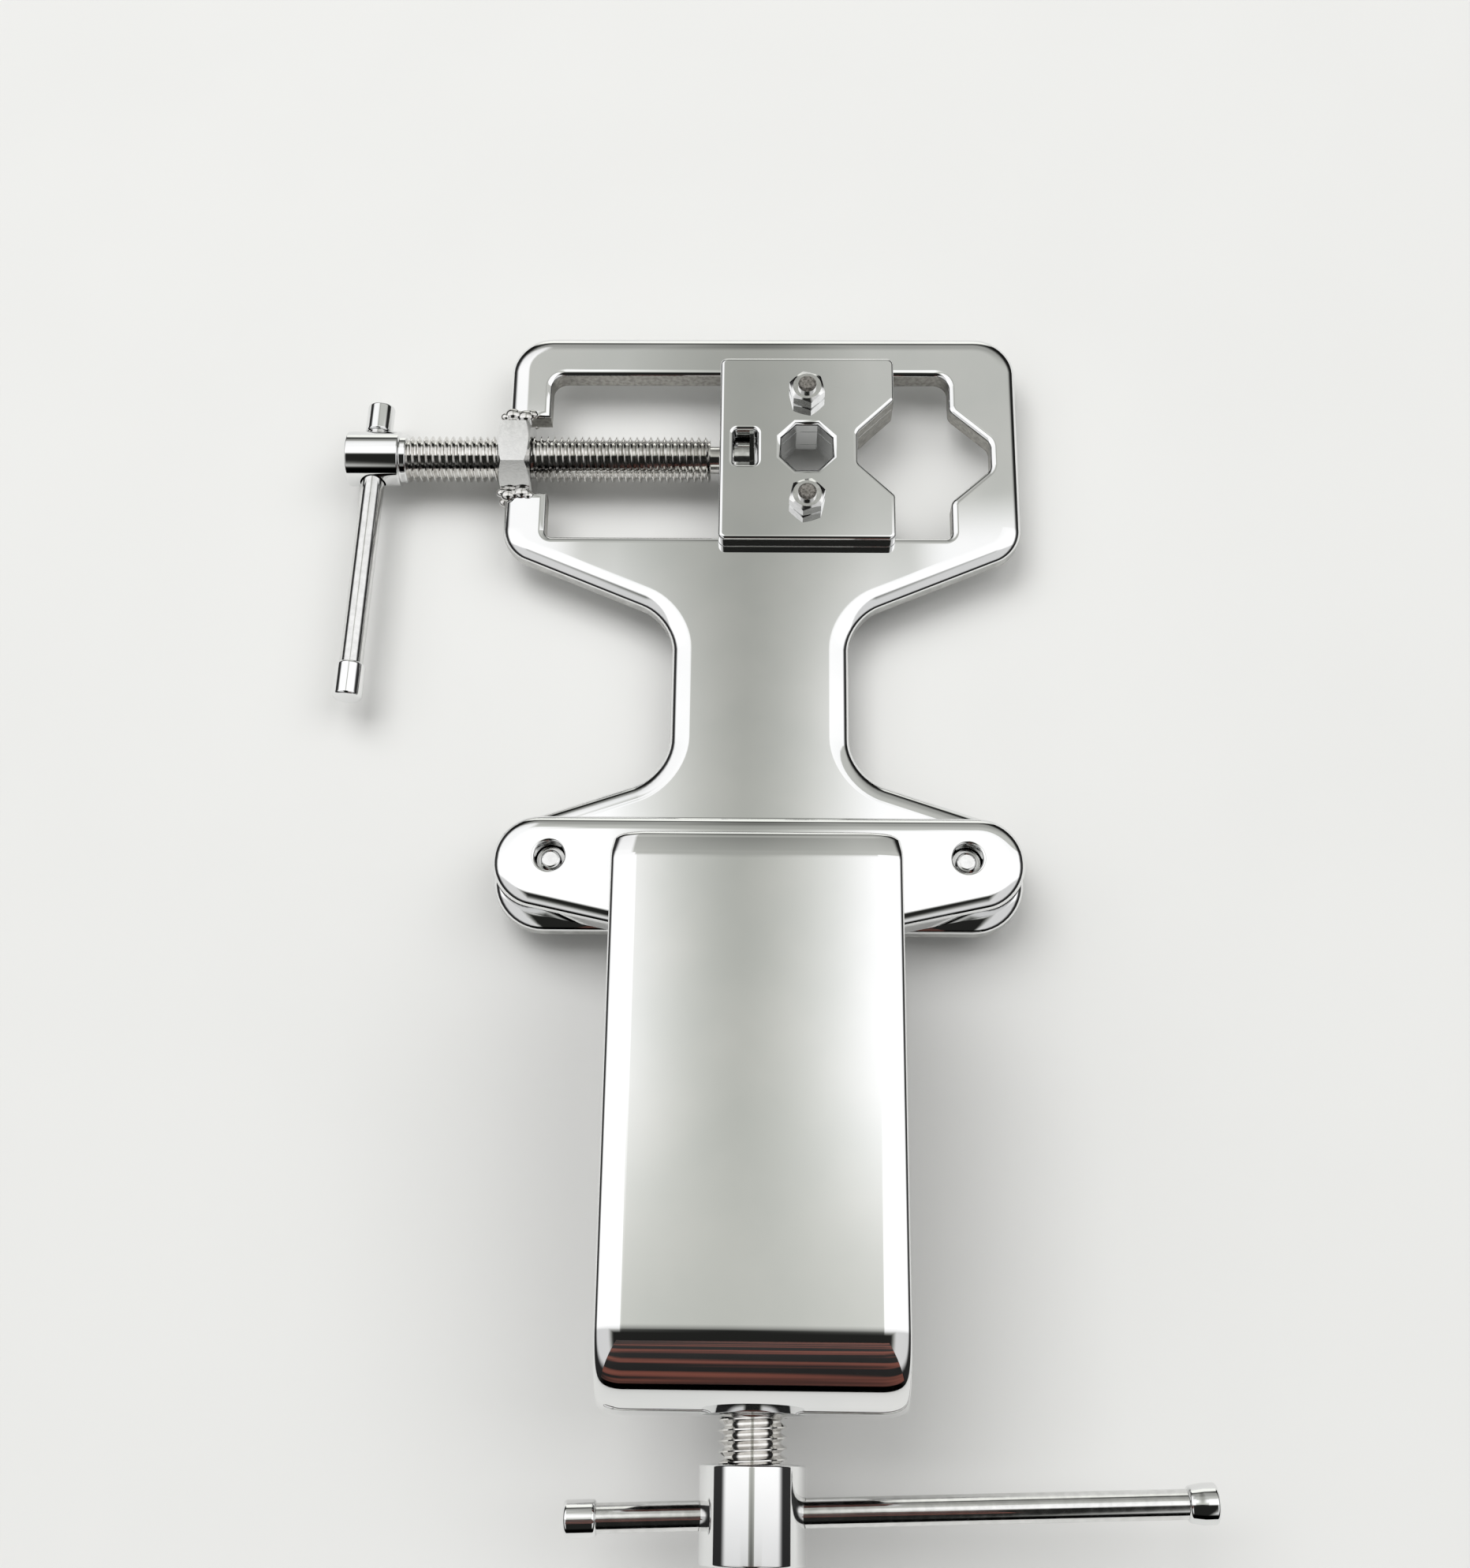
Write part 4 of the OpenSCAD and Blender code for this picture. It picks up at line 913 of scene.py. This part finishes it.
def room_world():
    """The room that the chrome reflects: grey ahead, white soft boxes left and right, dark round them."""
    world = bpy.data.worlds.new("studio_room")
    world.use_nodes = True
    tree = world.node_tree
    way = add(tree, "ShaderNodeSeparateXYZ", {0: add(tree, "ShaderNodeTexCoord").outputs["Generated"]})
    x, y, z = way.outputs

    def maths(kind, *values):
        return add(tree, "ShaderNodeMath", dict(enumerate(values)), operation=kind).outputs[0]

    # Degrees to the right of the viewer's direction, and above the horizon.
    right = maths("MULTIPLY", maths("ARCTAN2", x, maths("MULTIPLY", y, -1.0)), math.degrees(1))
    above = maths("MULTIPLY", maths("ARCSINE", z), math.degrees(1))

    def steps_of(value, low, high, from_low, from_high):
        """A soft step from one level to another, between two angles in degrees."""
        return spread(tree, value, low, high, from_low, from_high, True)

    # Two tall soft boxes: their inner borders fade slowly at mid height, and are narrow and grey lower down.
    side = maths("ABSOLUTE", maths("ADD", right, 0.9))
    fade = maths("MULTIPLY", maths("POWER", spread(tree, side, 0, 1, 0.0, 4.4), 1.6),
                 maths("MULTIPLY", steps_of(above, 0.2, 1, 3, 12), steps_of(above, 1, 0.25, 21, 29)))
    tall_left = maths("MULTIPLY", steps_of(right, 1, 0, -15, -6.5), steps_of(above, 1, 0, 46, 56))
    high = maths("ADD", above, steps_of(right, -2.6, 0, -3, 3))
    middle = maths("MULTIPLY", steps_of(side, 0, 1, 4.6, 7), steps_of(high, 1, 0, 26.6, 29))
    boxes = maths("MULTIPLY", maths("MAXIMUM", fade, maths("MAXIMUM", tall_left, middle)),
                  maths("MAXIMUM", steps_of(above, 0, 1, -9, -2),
                        maths("MULTIPLY", steps_of(side, 0, 1, 14, 24),
                              steps_of(above, 0, 1, -66, -50))))
    # Grey room between them, lit a little less high up, dark under the horizon and near the sheet's plane.
    lean = maths("MULTIPLY", maths("ARCSINE", maths("MULTIPLY", y, -1.0)), math.degrees(1))
    room = maths("MULTIPLY", steps_of(above, 0.012, 0.40, -5, 1),
                 maths("MULTIPLY", steps_of(above, 1, 0.68, 4, 30), steps_of(above, 1, 0.5, 34, 50)))
    box_light = 0.48
    total = maths("ADD", room, maths("MULTIPLY", boxes, box_light))
    total = maths("MULTIPLY", total, steps_of(lean, 0.03, 1, 20, 34))
    # A white ceiling right over the vise.
    total = maths("MAXIMUM", total, steps_of(above, 0, 0.75, 66, 74))
    # The room is a little greenish; the boxes are white.
    red = maths("MULTIPLY", total, spread(tree, boxes, 0.985, 1))
    blue = maths("MULTIPLY", total, spread(tree, boxes, 0.93, 1))
    colour = add(tree, "ShaderNodeCombineColor", {0: red, 1: total, 2: blue})
    tree.links.new(colour.outputs[0], tree.nodes["Background"].inputs["Color"])
    tree.nodes["Background"].inputs["Strength"].default_value = 1.5
    return world


def lamp(name, power, size, place_at, target):
    """A soft square lamp that the chrome doesn't mirror."""
    data = bpy.data.lights.new(name, "AREA")
    data.energy = power
    data.shape = "SQUARE"
    data.size = size
    obj = bpy.data.objects.new(name, data)
    bpy.context.scene.collection.objects.link(obj)
    obj.location = place_at
    obj.rotation_euler = (Vector(target) - Vector(place_at)).to_track_quat("-Z", "Y").to_euler()
    obj.visible_glossy = False


class VISE_OT_stage(Operator):
    """Make the camera, the white sheet behind the vise, the room that the chrome reflects and the lamps"""

    bl_idname = "vise.stage"
    bl_label = "Stage, camera and light"

    def execute(self, context):
        scene = context.scene
        s = scene.vise_stage
        # The camera's axes: ahead and level first, then rolled about the view.
        turn = Matrix.Rotation(s.yaw, 3, "Z")
        ahead = turn @ Vector((0, math.cos(s.tilt), math.sin(s.tilt)))
        up = turn @ Vector((0, -math.sin(s.tilt), math.cos(s.tilt)))
        right = turn @ Vector((1, 0, 0))
        over = math.cos(s.roll) * right - math.sin(s.roll) * up
        tall = math.sin(s.roll) * right + math.cos(s.roll) * up
        data = bpy.data.cameras.new("camera")
        data.lens = s.lens
        data.sensor_width = 36
        data.clip_start = 0.01
        camera = bpy.data.objects.new("camera", data)
        scene.collection.objects.link(camera)
        camera.matrix_world = (Matrix.Translation(s.camera_at)
                               @ Matrix((over, tall, -ahead)).transposed().to_4x4())
        scene.camera = camera
        flat_sheet("white_sheet", (8, 8), (0, s.floor_y, 0), math.pi / 2, sheet_paper(s.floor_hex))
        table = flat_sheet("dark_table", (0.1, 0.13), (0, -0.097, -0.118), 0.0, table_wood())
        table.visible_diffuse = table.visible_shadow = table.visible_camera = False
        scene.world = room_world()
        lamp_size, target = 1.5, (0, 0, 0.05)
        lamp("key", 25.0, lamp_size, (-0.7, -2.1, 0.9), target)
        lamp("fill", 8.5, lamp_size, (1.1, -2.0, 0.5), target)
        scene.view_settings.view_transform = "Standard"
        return {"FINISHED"}


class VISE_PT_panel(Panel):
    """Lists the vise's operators"""

    bl_idname = "VISE_PT_panel"
    bl_label = "Lock Picking Vise"
    bl_space_type = "VIEW_3D"
    bl_region_type = "UI"
    bl_category = "Vise"

    def draw(self, context):
        for operator in OPERATORS:
            self.layout.operator(operator.bl_idname)


OPERATORS = (VISE_OT_plate, VISE_OT_body, VISE_OT_jaw, VISE_OT_fixings, VISE_OT_jaw_screw,
             VISE_OT_clamp_screw, VISE_OT_stage)
GROUPS = {"vise_shape": ViseShape, "vise_thread": ViseThread, "vise_stage": ViseStage}


def register():
    for cls in (*GROUPS.values(), *OPERATORS, VISE_PT_panel):
        bpy.utils.register_class(cls)
    for name, group in GROUPS.items():
        setattr(bpy.types.Scene, name, PointerProperty(type=group))


def unregister():
    for name in GROUPS:
        delattr(bpy.types.Scene, name)
    for cls in reversed((*GROUPS.values(), *OPERATORS, VISE_PT_panel)):
        bpy.utils.unregister_class(cls)


def main():
    """Runs every operator in turn."""
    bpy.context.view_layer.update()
    register()
    for operator in OPERATORS:
        area, name = operator.bl_idname.split(".")
        if getattr(getattr(bpy.ops, area), name)() != {"FINISHED"}:
            raise RuntimeError(f"{operator.bl_label} didn't finish")


if __name__ == "__main__":
    main()
